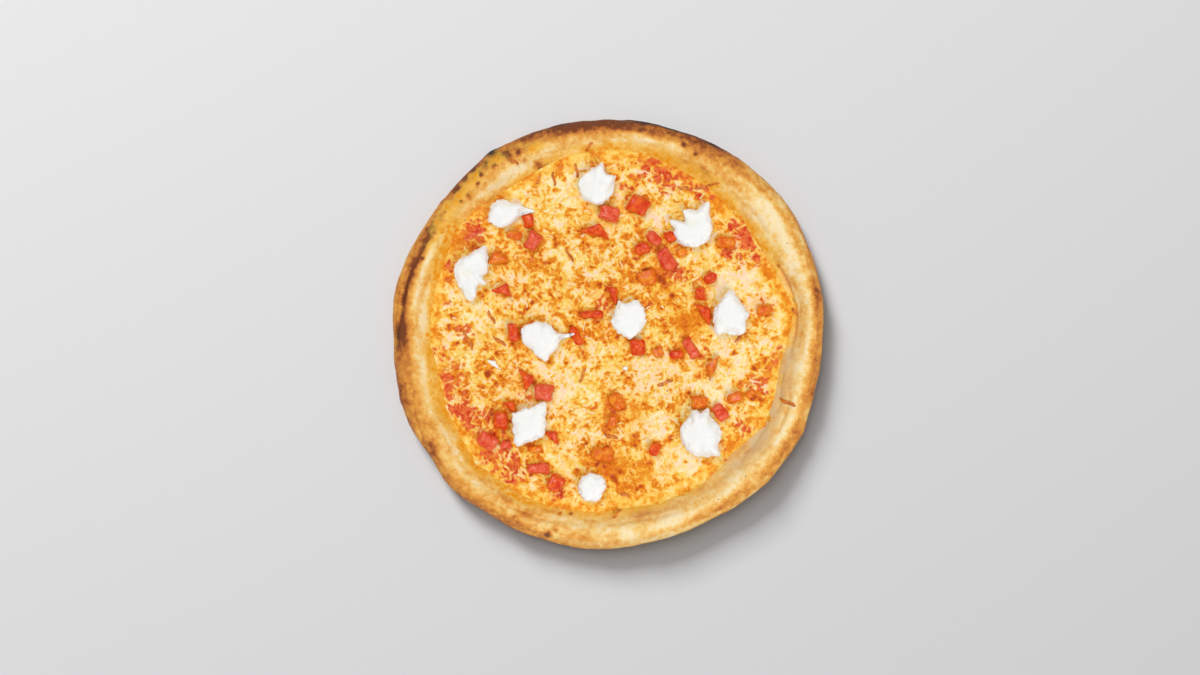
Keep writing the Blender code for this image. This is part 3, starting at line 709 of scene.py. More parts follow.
def toasted_cheese():
    """Shreds that the oven has browned."""
    look = bpy.context.scene.pizza_cheese
    material, tree, shader = new_material("toasted_cheese_looks")
    body = ramp(tree, speckle(tree, 3 * MM, 3), [(0.3, look.toasted), (0.7, look.toasted_pale)])
    set_finish(tree, shader, body, {"Roughness": 0.35})
    set_bump(tree, shader, speckle(tree, 0.7 * MM, 3), 0.3 * MM)
    return material


def tomato_material(kind):
    """Tomato with its skin up, its flesh up or its face under cheese oil."""
    look = bpy.context.scene.pizza_toppings
    material, tree, shader = new_material(f"tomato_{kind}_looks")
    first, second = {
        "skin": (look.skin, look.skin_pale),
        "flesh": (look.flesh, look.flesh_deep),
        "oiled": (look.oiled, look.oiled_pale),
    }[kind]
    body = ramp(tree, speckle(tree, 4 * MM, 4, 0.65), [(0.38, first), (0.66, second)])
    edge = maths(tree, "MULTIPLY", reading(tree, "edge"), 0.5, clamp=True)
    set_finish(tree, shader, blend(tree, edge, body, look.juice), {
        "Roughness": 0.24,
        "Specular IOR Level": 0.3,
        "Subsurface Weight": 0.12,
        "Subsurface Radius": (1.0, 0.3, 0.15),
        "Subsurface Scale": 1.5 * MM,
        "Coat Weight": 0.18,
        "Coat Roughness": 0.1,
    })
    set_bump(tree, shader, speckle(tree, 1.3 * MM, 3), 0.4 * MM, 0.4)
    return material


def fresh_mozzarella():
    """Milky white, with painted shade in its hollows and towards its foot."""
    look = bpy.context.scene.pizza_toppings
    material, tree, shader = new_material("fresh_mozzarella_looks")
    hollow = maths(tree, "MULTIPLY", reading(tree, "hollow"), 0.9, clamp=True)
    set_finish(tree, shader, blend(tree, hollow, look.white, look.shade), {
        "Roughness": 0.42,
        "Subsurface Weight": 0.35,
        "Subsurface Radius": (1.0, 0.9, 0.75),
        "Subsurface Scale": 1.6 * MM,
    })
    set_bump(tree, shader, speckle(tree, 1.2 * MM, 4, 0.6), 0.4 * MM)
    return material


def scorched():
    """Dry burnt specks."""
    look = bpy.context.scene.pizza_crust
    material, tree, shader = new_material("scorched_crumb_looks")
    body = ramp(tree, speckle(tree, 1.5 * MM, 2), [(0.35, look.scorched),
                                                   (0.65, look.scorched_pale)])
    set_finish(tree, shader, body, {"Roughness": 0.7})
    return material


# Crust

def rim_streaks(angle, share, size, seed, stretch=5):
    """Clouds drawn out along the rim."""
    turn = np.radians(angle)
    girth = RIM_RADIUS / stretch
    drawn = np.stack([girth * np.cos(turn), girth * np.sin(turn), share * RIM_WIDTH], 1)
    return cloud(drawn, size, seed)


def rim_relief(angle, share, points):
    """Height of the rim's lumps, creases, blisters and pores, and how near a crease is for the painted
    shade along the creases.
    """
    look = bpy.context.scene.pizza_crust
    height = look.lump_height * cloud(points, 22 * MM, 3)
    height += look.lump_height * 0.55 * cloud(points, 9 * MM, 4)
    height += look.grain_height * 1.4 * cloud(points, 4 * MM, 5)
    height += look.grain_height * cloud(points, 1.8 * MM, 6)
    height += look.grain_height * 2 * rim_streaks(angle, share, 3 * MM, 8)
    across = share * RIM_WIDTH
    wander = cloud(points, 12 * MM, 7) * 1.2 * MM
    crease_shade = np.zeros(len(points))
    for start, start_share, end, end_share, depth, width in RIM_CREASES:
        along = ((angle - start) % 360) / (end - start)
        inside = along <= 1
        middle = start_share + (end_share - start_share) * along
        fade = np.sin(math.pi * np.clip(along, 0, 1)) ** 0.6
        away = (across - middle * RIM_WIDTH + wander) / (width * MM)
        height -= np.where(inside, depth * MM * fade * np.exp(-away ** 2), 0)
        crease_shade += np.where(inside, depth * fade * np.exp(-(away * 1.8) ** 2), 0)
    draw = random.Random(21)
    spots = [(look.blisters, 1.6 * MM, 4.5 * MM, 0.55 * MM),
             (look.pores, 0.7 * MM, 1.3 * MM, -0.5 * MM)]
    for count, small, large, rise in spots:
        for _ in range(count):
            where = draw.uniform(0, 360)
            inset = draw.uniform(0.05, 0.85)
            reach = small + (large - small) * draw.random() ** 2
            strength = draw.uniform(0.3, 1)
            arc = ((angle - where + 180) % 360 - 180) * math.radians(RIM_RADIUS)
            distance = np.hypot(arc, (share - inset) * RIM_WIDTH) / reach
            height += rise * strength * np.exp(-distance ** 2) * (reach / small) ** 0.4
    return height, crease_shade


def ring_skin(radius, height, girth):
    """A tube bent round into a ring, with the column and the ring of each of its points."""
    look = bpy.context.scene.pizza_crust
    start_piece()
    bpy.ops.mesh.primitive_circle_add(vertices=look.rings, radius=girth, fill_type="NOTHING",
                                      location=(radius, 0, height), rotation=(math.pi / 2, 0, 0))
    skin = named("crust_skin")
    bpy.ops.object.transform_apply(location=True, rotation=True, scale=True)
    edit_mode()
    bpy.ops.mesh.spin(steps=look.columns, angle=math.tau, center=(0, 0, 0), axis=(0, 0, 1),
                      use_auto_merge=True)
    face_outwards()
    object_mode()
    points = points_of(skin)
    lean = np.arctan2(points[:, 2] - height, radius_of(points) - radius)
    column = np.rint(turn_of(points) / math.tau * look.columns).astype(int) % look.columns
    ring = np.rint(lean / math.tau * look.rings - 0.25).astype(int) % look.rings
    return skin, column, ring


def shape_crust_skin(skin, column, ring, well):
    """Adds the relief to the fitted skin and writes how each place is baked."""
    look = bpy.context.scene.pizza_crust
    points = points_of(skin)
    radius = radius_of(points)
    outer = np.zeros(look.columns)
    np.maximum.at(outer, column, radius)
    share = (outer[column] - radius) / (outer - well)[column]
    share = np.where(ring > look.rings * 0.6, -share, share)
    angle = np.degrees(turn_of(points)) % 360
    height, crease_shade = rim_relief(angle, share, points)
    height *= np.where(share < 0, 0.35, 1) * step(points[:, 2], 0.5 * MM, 4 * MM)
    height *= 1 - 0.8 * step(share, 0.9, 1.0)
    set_points(skin, points + normals_of(skin) * height[:, None])

    ragged = share + 0.09 * rim_streaks(angle, share, 9 * MM, 16, 1.5)
    ragged = np.clip(ragged + 0.06 * cloud(points, 4 * MM, 17), 0, 1.3)
    bake = 0.37 + 0.26 * (1 - step(ragged, 0.06, 0.50)) + 0.12 * (1 - step(ragged, 0.0, 0.12))
    bake += 0.06 * step(ragged, 0.60, 0.90)
    bake = np.where(share < 0, 0.72, bake)
    # The paler places are partly paler dough and partly painted light on shaded parts of the rim.
    bake += patches(angle, share, TOASTED_PLACES) - patches(angle, share, PALE_AND_PAINTED_LIGHT_PLACES)
    bake += 0.08 * cloud(points, 14 * MM, 11) + 0.10 * cloud(points, 6 * MM, 12)
    bake += 0.10 * cloud(points, 2.6 * MM, 18)
    streaks = 0.12 * rim_streaks(angle, share, 5 * MM, 22)
    streaks += 0.10 * rim_streaks(angle, share, 2.4 * MM, 23)
    bake += streaks * (1 + 1.1 * bell(angle, 25, 26))
    # Raised lumps are browner and pits paler, and the creases are darkened as painted shade.
    bake += 0.09 * np.clip(height / MM, -1, 1) + 0.17 * crease_shade
    raw = patches(angle, share, RAW_PLACES) * (0.8 + 0.5 * cloud(points, 6 * MM, 13))
    oil = patches(angle, share, OILY_PLACES) * (0.8 + 0.8 * cloud(points, 6 * MM, 14))
    wet = share + 0.16 * rim_streaks(angle, share, 8 * MM, 24, 2) + 0.07 * cloud(points, 4 * MM, 19)
    oil += (0.50 + 0.5 * cloud(points, 9 * MM, 26)) * step(wet, 0.66, 1.0)
    oil = np.minimum(oil, 0.85) * (1 - 0.75 * np.clip(raw, 0, 1))
    char = patches(angle, share, CHARRED_PLACES) * (1 + 0.5 * cloud(points, 5 * MM, 15))
    uneven = 1 + 0.35 * cloud(points, 2.4 * MM, 27)
    for x, y, reach in BROWNED_SPOTS:
        away = np.hypot(points[:, 0] - x * MM, points[:, 1] - y * MM) / (reach * MM)
        spot = np.exp(-(away * uneven) ** 2)
        bake += np.where(share > 0, 0.62 * spot, 0)
        oil *= 1 - np.where(share > 0, 0.8 * spot, 0)
    bake, raw, oil, char = (np.clip(values, 0, 1.2) for values in (bake, raw, oil, char))
    write_attributes(skin, bake=bake, raw=raw, oil=oil, char=char)


def bake_crust():
    """A ring drawn onto the solid's form, opened inside the base and closed flat."""
    look = bpy.context.scene.pizza_crust
    low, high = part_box("crust")
    form = copy_solid("crust", "crust_form")
    skin, column, ring = ring_skin((high.x - low.x) / 2 - CORE_INSET, CORE_HEIGHT, TUBE_GIRTH)
    apply_modifier(skin, "SHRINKWRAP", target=form, wrap_method="PROJECT",
                   use_negative_direction=True, use_positive_direction=False)
    bpy.data.objects.remove(form, do_unlink=True)
    wall_ring = int(look.rings * WALL_ANGLE / 360)
    base_ring = math.ceil(look.rings * UNDERSIDE_ANGLE / 360)
    well = np.zeros(look.columns)
    points = points_of(skin)
    wall = ring == wall_ring
    well[column[wall]] = radius_of(points)[wall]
    inner = (ring >= wall_ring) & (ring < base_ring)
    way = points[:, :2] / radius_of(points)[:, None]
    points[inner, :2] = way[inner] * well[column[inner]][:, None]
    points[inner, 2] = BASE_TOP
    set_points(skin, points)
    apply_modifier(skin, "SMOOTH", factor=0.5, iterations=4)
    shape_crust_skin(skin, column, ring, well)
    points = points_of(skin)
    points[wall, 2] = BASE_TOP
    points[ring >= base_ring, 2] *= step(points[ring >= base_ring, 2], 0.2 * MM, 1.8 * MM)
    points[:, 2] = np.maximum(points[:, 2], low.z)
    set_points(skin, points)
    take(skin)
    edit_mode("DESELECT")
    object_mode()
    skin.data.vertices.foreach_set("select", (ring > wall_ring) & (ring < base_ring))
    bpy.ops.object.mode_set(mode="EDIT")
    bpy.ops.mesh.delete(type="VERT")
    bpy.ops.mesh.select_all(action="SELECT")
    bpy.ops.mesh.fill_holes(sides=0)
    face_outwards()
    object_mode()
    shade_smooth(skin)
    hand_over(skin, "baked_dough", baked_dough(), "crust")


# Sauce

def spread_sauce():
    look = bpy.context.scene.pizza_sauce
    low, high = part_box("sauce")
    outline = outline_of("sauce", (low.z + high.z) / 2)
    layer, count, share = layer_disc("sauce_layer", (look.divisions,),
                                     lambda turn: outline(turn) + 0.4 * MM, low.z + 0.1 * MM)
    points = points_of(layer)
    top = points[:count]
    rise = high.z - low.z + look.lump_height * cloud(top, 6 * MM, 31)
    rise += look.lump_height * cloud(top, 2.5 * MM, 32) + 1.1 * MM * step(share, 0.955, 1.0)
    points[:count, 2] = low.z + rise
    set_points(layer, points)
    shade_smooth(layer)
    hand_over(layer, "tomato_sauce", tomato_sauce(), "sauce")


# Cheese

class CheeseMap:
    """Height, tone, pinkness and sauce of the melted cheese on an even grid of squares."""

    def __init__(self, half, pitch):
        self.half = half
        self.pitch = pitch
        self.size = int(2 * half / pitch) + 1
        line = np.linspace(-half, half, self.size)
        self.x, self.y = np.meshgrid(line, line)
        self.height = np.zeros_like(self.x)
        self.tone = np.zeros_like(self.x)
        self.pink = np.zeros_like(self.x)
        self.sauce = np.zeros_like(self.x)

    def window(self, x, y, reach):
        """The part of the grid within reach of a point."""
        first = [int(max((v + self.half - reach) / self.pitch, 0)) for v in (x, y)]
        last = [int(max((v + self.half + reach) / self.pitch, 0)) + 2 for v in (x, y)]
        return slice(first[1], last[1]), slice(first[0], last[0])

    def flat(self):
        return np.stack([self.x.ravel(), self.y.ravel()], 1)

    def noise(self, size, seed):
        return cloud(self.flat(), size, seed).reshape(self.x.shape)

    def read(self, layer, x, y):
        """A layer's value between the squares, at any points."""
        column = np.clip((x + self.half) / self.pitch, 0, self.size - 1.001)
        row = np.clip((y + self.half) / self.pitch, 0, self.size - 1.001)
        left, low = column.astype(int), row.astype(int)
        across, up = column - left, row - low
        lower = layer[low, left] * (1 - across) + layer[low, left + 1] * across
        upper = layer[low + 1, left] * (1 - across) + layer[low + 1, left + 1] * across
        return lower * (1 - up) + upper * up

    def soften(self, layer, rounds):
        for _ in range(rounds):
            layer = (layer * 2 + np.roll(layer, 1, 0) + np.roll(layer, -1, 0)
                     + np.roll(layer, 1, 1) + np.roll(layer, -1, 1)) / 6
        return layer


def strand_rows(count, reach, seed):
    """Seeded strands: place, heading, half length, width, bend, level, tone and blush of each."""
    look = bpy.context.scene.pizza_cheese
    draw = np.random.default_rng(seed)
    radius = reach * np.sqrt(draw.random(count))
    turn = draw.uniform(0, math.tau, count)
    return np.stack([
        radius * np.cos(turn),
        radius * np.sin(turn),
        draw.uniform(0, math.tau, count),
        look.strand_length / 2 * draw.uniform(0.45, 1.25, count),
        look.strand_width / 2 * draw.uniform(0.75, 1.3, count),
        draw.normal(0, 30, count),
        draw.random(count),
        draw.random(count),
        draw.random(count),
    ], 1)


def soft_spot(place_x, place_y, x, y, reach):
    """1 at a point given in millimetres and less with the distance from it."""
    away = (place_x - x * MM) ** 2 + (place_y - y * MM) ** 2
    return np.exp(-away / (reach * MM) ** 2)


def region_tone(place_x, place_y):
    """How orange and how smooth the cheese is, by the places named at the top."""
    tone = np.zeros_like(place_x)
    smooth = np.zeros_like(place_x)
    for x, y, reach, orange, melt in CHEESE_PLACES:
        near = soft_spot(place_x, place_y, x, y, reach)
        tone += orange * near
        smooth = np.maximum(smooth, melt * near)
    return tone, smooth


def stamp_strands(cheese, rows, under, blushing):
    """Lays each strand over the last, in the tone beneath it, and says where any lies."""
    covered = np.zeros(cheese.x.shape, dtype=bool)
    for x, y, heading, half, width, bend, level, shade, blush in rows:
        band, columns = cheese.window(x, y, half + width)
        dx, dy = cheese.x[band, columns] - x, cheese.y[band, columns] - y
        along = dx * math.cos(heading) + dy * math.sin(heading)
        side = dy * math.cos(heading) - dx * math.sin(heading) - bend * along ** 2
        past = np.maximum(np.abs(along) - half, 0)
        near = np.maximum(1 - (side ** 2 + past ** 2) / width ** 2, 0)
        top = (0.1 + 0.55 * level) * MM + 0.5 * MM * np.sqrt(near)
        hit = (near > 0) & (top > cheese.height[band, columns])
        if not hit.any():
            continue
        tone = 0.42 * shade ** 1.5 - 0.05 * level + 0.95 * under[band, columns]
        tone = tone + 0.22 * (1 - np.sqrt(near))
        pink = 0.95 * (blush < blushing[band, columns])
        cheese.height[band, columns] = np.where(hit, top, cheese.height[band, columns])
        cheese.tone[band, columns] = np.where(hit, tone, cheese.tone[band, columns])
        cheese.pink[band, columns] = np.where(hit, pink, cheese.pink[band, columns])
        covered[band, columns] |= hit
    return covered


def saucy_share(cheese):
    """How bare of shreds each place is, by the places named at the top."""
    total = np.zeros_like(cheese.x)
    for x, y, reach, amount in SAUCY_PLACES:
        total += amount * soft_spot(cheese.x, cheese.y, x, y, reach)
    return total * (0.8 + 0.55 * cheese.noise(7 * MM, 57) + 0.3 * cheese.noise(3 * MM, 55))


def melt_cheese():
    """Stamps the strands one over another, then melts them together."""
    look = bpy.context.scene.pizza_cheese
    cheese = CheeseMap(MAP_HALF, MAP_PITCH)
    tone_here, smooth_here = region_tone(cheese.x, cheese.y)
    patchy = 0.12 * cheese.noise(16 * MM, 41) + 0.20 * cheese.noise(7 * MM, 42)
    patchy += 0.16 * cheese.noise(3.4 * MM, 43)
    under = 0.13 + tone_here + patchy
    bare = saucy_share(cheese)
    blushing = 0.38 + 0.36 * cheese.noise(17 * MM, 45) + 0.24 * cheese.noise(4 * MM, 46)
    blushing = np.clip(blushing + 0.5 * step(bare, 0.1, 0.6), 0, 0.9)
    cheese.tone = 0.50 + under
    cheese.height = 0.2 * MM * (1 + cheese.noise(5 * MM, 44))
    rows = strand_rows(look.strands, SHREDS_REACH, 47)
    bare_here = np.clip(cheese.read(bare, rows[:, 0], rows[:, 1]), 0, 0.93)
    rows = rows[np.random.default_rng(50).random(len(rows)) > bare_here]
    covered = stamp_strands(cheese, rows, under, blushing)
    cheese.tone += 0.12 * cheese.noise(1.4 * MM, 49)
    cheese.sauce = cheese.soften(np.where(covered, 0.12, 1.2) * step(bare, 0.12, 0.4), 3)
    cheese.height *= 1 - 0.6 * np.clip(cheese.sauce, 0, 1)
    cheese.height += 0.3 * MM * cheese.sauce * cheese.noise(1.6 * MM, 62)
    molten = cheese.soften(cheese.height, 14)
    melt = np.clip(0.3 + smooth_here + 0.3 * cheese.noise(12 * MM, 48), 0, 1)
    cheese.height = cheese.soften(cheese.height * (1 - melt) + molten * melt, 1)
    calm = 0.28 + 0.75 * tone_here + 0.12 * cheese.noise(4 * MM, 60)
    cheese.tone = cheese.tone * (1 - 0.85 * smooth_here) + calm * 0.85 * smooth_here
    cheese.pink *= 1 - smooth_here
    press_spots(cheese, look.dimples, 51, (0.9, 2.8), (0.18, 0.38), 0.3 * MM)
    press_spots(cheese, look.specks, 54, (0.4, 1.3), (0.12, 0.40), 0.12 * MM)
    for solid in (name for name in frame["nodes"] if name.startswith("tomato")):
        low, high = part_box(solid)
        reach = max(high.x - low.x, high.y - low.y) / 2 + 1.2 * MM
        press_spot(cheese, *middle_of(low, high), reach, 1, 0, 0.15, 0)
    for x, y, reach in TOASTED_SPOTS:
        press_spot(cheese, x * MM, y * MM, reach * MM, 1.3, reach, 0.5, 0.3 * MM)
    return cheese


def press_spot(cheese, x, y, reach, long, heading, tone, depth):
    """One darker dimple where the oil has pooled."""
    rows, columns = cheese.window(x, y, 3.5 * reach)
    dx, dy = cheese.x[rows, columns] - x, cheese.y[rows, columns] - y
    along = (dx * math.cos(heading) + dy * math.sin(heading)) / long
    side = dy * math.cos(heading) - dx * math.sin(heading)
    near = np.exp(-((along ** 2 + side ** 2) / reach ** 2) ** 1.5)
    cheese.tone[rows, columns] += tone * near
    cheese.height[rows, columns] -= depth * near
    cheese.pink[rows, columns] *= 1 - near


def press_spots(cheese, count, seed, sizes, tones, depth):
    """Seeded dimples, some long and some round."""
    draw = random.Random(seed)
    for _ in range(count):
        radius = DIMPLES_REACH * math.sqrt(draw.random())
        turn = draw.uniform(0, math.tau)
        press_spot(cheese, radius * math.cos(turn), radius * math.sin(turn),
                   draw.uniform(*sizes) * MM, draw.uniform(1, 1.9), draw.uniform(0, math.pi),
                   draw.uniform(*tones), depth)


def lay_cheese(cheese, crust):
    """The melted layer as one closed skin, with an oily film a little way up the rim's slope."""
    look = bpy.context.scene.pizza_cheese
    low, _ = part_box("cheese")
    sauce_low, sauce_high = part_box("sauce")
    well = outline_of("sauce", (sauce_low.z + sauce_high.z) / 2)
    layer, count, _ = layer_disc("cheese_layer", (look.divisions // 4, 4),
                                 lambda turn: well(turn) + look.spill, low.z + 0.1 * MM)
    points = points_of(layer)
    flat = points[:count, :2].copy()
    x, y = flat.T
    beyond = radius_of(flat) - well(turn_of(flat))
    past = beyond / look.spill
    past += 0.45 * cloud(flat, 9 * MM, 52) * step(past, -1, 0)
    relief = cheese.read(cheese.height, x, y) * (1 - 0.6 * step(past, -1.5, 0))
    level = low.z + LAYER_HEIGHT + relief
    near_rim = beyond > -1 * MM
    slope = np.zeros(count)
    slope[near_rim] = surface_reader(crust)(x[near_rim], y[near_rim])
    film = 0.30 * MM - 2.2 * MM * past + 0.22 * MM * cloud(flat, 4 * MM, 58)
    film += 0.40 * MM * cloud(flat, 13 * MM, 63)
    climbing = slope + np.clip(film, -1.0 * MM, 0.35 * MM)
    softness = 0.6 * MM
    both = np.maximum(level, climbing)
    gap = np.abs(level - climbing)
    both += np.where(gap < softness, (softness - gap) ** 2 / (4 * softness), 0)
    points[:count, 2] = np.where(near_rim & (slope > 6 * MM), both, level)
    skirt_turn = turn_of(points[count:])
    points[count:, 0] = (well(skirt_turn) - 1 * MM) * np.cos(skirt_turn)
    points[count:, 1] = (well(skirt_turn) - 1 * MM) * np.sin(skirt_turn)
    points[count:, 2] = low.z + 0.1 * MM
    set_points(layer, points)
    oily = step(past + 0.6 * cloud(flat, 6 * MM, 61), -1.5, -0.2)
    tone, pink, sauce = np.full(len(points), 0.6), np.zeros(len(points)), np.zeros(len(points))
    edge_tone = 0.50 + 0.26 * cloud(flat, 11 * MM, 53) + 0.22 * cloud(flat, 2.8 * MM, 59)
    tone[:count] = cheese.read(cheese.tone, x, y) * (1 - oily) + edge_tone * oily
    pink[:count] = cheese.read(cheese.pink, x, y) * (1 - oily)
    sauce[:count] = cheese.read(cheese.sauce, x, y) * (1 - step(past, 0, 0.5))
    write_attributes(layer, tone=tone, pink=pink, sauce=sauce)
    shade_smooth(layer)
    return layer


def strand_template(sides, steps):
    """One shred along X, two units long and two across, narrower at its ends, to copy and bend."""
    start_piece()
    bpy.ops.mesh.primitive_cylinder_add(vertices=sides, radius=1, depth=2, end_fill_type="NGON",
                                        location=(0, 0, 0), rotation=(0, math.pi / 2, 0))
    shred = named("shred_template")
    bpy.ops.object.transform_apply(location=True, rotation=True, scale=True)
    edit_mode("DESELECT")
    object_mode()
    for edge in shred.data.edges:
        first, last = (shred.data.vertices[i].co for i in edge.vertices)
        edge.select = abs(first.x - last.x) > 1
    bpy.ops.object.mode_set(mode="EDIT")
    bpy.ops.mesh.select_mode(type="EDGE")
    bpy.ops.mesh.subdivide(number_cuts=steps - 1)
    bpy.ops.mesh.select_mode(type="VERT")
    bpy.ops.mesh.select_all(action="SELECT")
    bpy.ops.mesh.quads_convert_to_tris()
    object_mode()
    points = points_of(shred)
    taper = np.clip(1 - np.abs(points[:, 0]) ** 6 * 0.6, 0.2, 1)
    points[:, 1:] *= taper[:, None]
    faces = np.array([face.vertices[:] for face in shred.data.polygons])
    bpy.data.objects.remove(shred, do_unlink=True)
    return points, faces


def joined_strands(name, rows, sides, steps, surface):
    """One mesh of many bent shreds laid over a surface: each row as strand_rows has it."""
    template, faces = strand_template(sides, steps)
    points, corners, owners = [], [], []
    for number, (x, y, heading, half, width, bend, level, *_) in enumerate(rows):
        along = template[:, 0] * half
        side = template[:, 1] * width + bend * along ** 2 + 0.3 * width * np.sin(along / half * 4)
        px = x + along * math.cos(heading) - side * math.sin(heading)
        py = y + along * math.sin(heading) + side * math.cos(heading)
        cx = x + along * math.cos(heading) - bend * along ** 2 * math.sin(heading)
        cy = y + along * math.sin(heading) + bend * along ** 2 * math.cos(heading)
        pz = surface(cx, cy) + template[:, 2] * width * 0.55 + (level - 0.45) * width * 0.6
        corners.append(faces + len(points) * len(template))
        points.append(np.stack([px, py, pz], 1))
        owners.append(np.full(len(template), number))
    return mesh_piece(name, points, corners), np.concatenate(owners)


def surface_reader(*pieces):
    """A function from points to the height of the highest of some pieces there."""
    trees = [tree_of(piece) for piece in pieces]

    def height(x, y):
        values = []
        for px, py in zip(x, y):
            start = Vector((px, py, ABOVE_ALL))
            hits = [tree.ray_cast(start, Vector((0, 0, -1)))[0] for tree in trees]
            values.append(max((hit.z for hit in hits if hit), default=0))
        return np.array(values)

    return height


def lay_strands(layer):
    """Shreds that stand a little out of the melted layer."""
    look = bpy.context.scene.pizza_cheese
    rows = strand_rows(look.loose_strands, LOOSE_REACH, 61)
    tone_here, smooth_here = region_tone(rows[:, 0], rows[:, 1])
    rows = rows[smooth_here < 0.45]
    tone_here = tone_here[smooth_here < 0.45]
    rows[:, 6] *= 0.35
    piece, owners = joined_strands("cheese_strands", rows, 5, 5, surface_reader(layer))
    tone = 0.14 + 0.42 * rows[:, 7] ** 1.5 + tone_here * 0.8
    write_attributes(piece, tone=tone[owners], pink=(rows[:, 8] < 0.5)[owners] * 0.7,
                     sauce=np.zeros(len(owners)))
    return piece


def lay_toasted_shreds(crust, layer):
    """The browned shreds at the edge and on the cheese."""
    rows = []
    draw = random.Random(71)
    for x0, y0, x1, y1 in TOASTED_SHREDS:
        length = math.hypot(x1 - x0, y1 - y0) * MM
        heading = math.atan2(y1 - y0, x1 - x0)
        rows.append(((x0 + x1) / 2 * MM, (y0 + y1) / 2 * MM, heading, length / 2,
                     draw.uniform(1.0, 1.3) * MM, draw.uniform(-14, 14), 0.6, draw.random()))
    return joined_strands("toasted_shreds", np.array(rows), 8, 14, surface_reader(crust, layer))[0]


# Toppings

def refine(piece, levels, lumps):
    """Rounds a merged solid and roughens it with lumps of (size, height, seed)."""
    apply_modifier(piece, "SUBSURF", levels=levels, render_levels=levels)
    points = points_of(piece)
    normals = normals_of(piece)
    height = sum(rise * cloud(points, size, seed) for size, rise, seed in lumps)
    return points, normals, height


def middle_of(low, high):
    """The middle of a box from above, as x and y."""
    return np.array(((low.x + high.x) / 2, (low.y + high.y) / 2))


def height_share(points, low, high):
    """0 at the foot of a box and 1 at its top."""
    return np.clip((points[:, 2] - low.z) / (high.z - low.z), 0, 1)


def fitted(points, low, high):
    """The points drawn out again to a solid's box, which rounding had shrunk."""
    least, most = points.min(axis=0), points.max(axis=0)
    return (points - least) / (most - least) * (np.array(high) - np.array(low)) + np.array(low)


def dice_tomato(number, material):
    """A wet cut piece of tomato, sunk a little into the cheese."""
    look = bpy.context.scene.pizza_toppings
    solid = f"tomato_{number:02d}"
    piece = copy_solid(solid, f"tomato_dice_{number:02d}")
    low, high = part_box(solid)
    apply_modifier(piece, "BEVEL", width=0.8 * MM, segments=2, limit_method="ANGLE",
                   angle_limit=math.radians(30))
    lumps = [(6 * MM, 1.1 * MM, number), (2.4 * MM, 0.4 * MM, number + 50)]
    points, normals, height = refine(piece, 2, lumps)
    points = fitted(points + normals * height[:, None], low, high)
    share = height_share(points, low, high)
    points[:, 2] -= look.tomato_sink * (1 - share)
    middle = middle_of(low, high)
    points[:, :2] -= (points[:, :2] - middle) * look.tomato_lean * step(share, 0.15, 0.95)[:, None]
    set_points(piece, points)
    write_attributes(piece, edge=step(1 - share, 0.25, 0.8))
    shade_smooth(piece)
    hand_over(piece, "tomato", material, solid)


def draw_wisps(points, number, low, high, ground):
    """Draws a piece's thin wisps out over what lies next to it."""
    away = points[:, :2] - middle_of(low, high)
    angle = np.degrees(turn_of(away))
    radius = radius_of(away)
    share = height_share(points, low, high)
    for wisp, way, width, reach in WISPS:
        if wisp != number:
            continue
        far = step(radius, 0.45 * radius.max(), 0.8 * radius.max())
        pull = bell(angle, way, width) * far
        way_out = np.array((math.cos(math.radians(way)), math.sin(math.radians(way))))
        points[:, :2] += way_out * (pull * reach * MM)[:, None]
        drawn = np.flatnonzero(pull > 0.02)
        rest = ground(points[drawn, 0], points[drawn, 1]) + 0.2 * MM + share[drawn] * 1.6 * MM
        part = step(pull[drawn], 0.05, 0.5)
        points[drawn, 2] += (rest - points[drawn, 2]) * part


def tear_mozzarella(number, material, ground):
    """A torn white lump with a ragged edge and soft folds."""
    look = bpy.context.scene.pizza_toppings
    solid = f"mozzarella_{number:02d}"
    piece = copy_solid(solid, f"mozzarella_tear_{number:02d}")
    low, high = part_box(solid)
    width = high.x - low.x
    small = width <= 12 * MM
    levels = 2 if small else 3
    rag = look.rag * 0.25 if small else look.rag
    lumps = [(7 * MM, rag, number), (3 * MM, rag * 0.3, number + 20)]
    points, normals, height = refine(piece, levels, lumps)
    points = fitted(points + normals * height[:, None], low, high)
    share = height_share(points, low, high)
    points[:, 2] -= look.mozzarella_sink * (1 - share)
    away = points[:, :2] - middle_of(low, high)
    radius = radius_of(away)
    ragged = look.tear * cloud(points, 2.2 * MM, number + 60)
    ragged *= step(radius, 0.2 * width, 0.5 * width)
    points[:, :2] += away / np.maximum(radius, 1 * MM)[:, None] * ragged[:, None]
    draw_wisps(points, number, low, high, ground)
    set_points(piece, points)
    # Painted shade: darker where the lumps dip in and towards the foot.
    hollow = step(-height, 0.1 * rag, 0.9 * rag) * 0.6 + 0.5 * step(1 - share, 0.7, 1)
    write_attributes(piece, hollow=hollow)
    shade_smooth(piece)
    hand_over(piece, "fresh_mozzarella", material, solid)


def crumb_template():
    """The points and faces of one round crumb, to copy and roughen."""
    start_piece()
    bpy.ops.mesh.primitive_ico_sphere_add(subdivisions=2, radius=1, location=(0, 0, 0))
    crumb = named("crumb_template")
    points = points_of(crumb)
    faces = np.array([face.vertices[:] for face in crumb.data.polygons])
    bpy.data.objects.remove(crumb, do_unlink=True)
    return points, faces


def scatter_crumbs(name, spots, surface):
    """One mesh of small uneven crumbs: x, y and reach of each."""
    template, faces = crumb_template()
    points, corners = [], []
    for number, (x, y, reach) in enumerate(spots):
        rough = 1 + 0.35 * cloud(template * 3 + number * 7, 2.0, 5)
        grain = template * rough[:, None] * reach * np.array((1.2, 0.9, 0.5))
        height = surface(np.array([x]), np.array([y]))[0]
        corners.append(faces + len(points) * len(template))
        points.append(grain + np.array((x, y, height + 0.1 * reach)))
    return mesh_piece(name, points, corners)


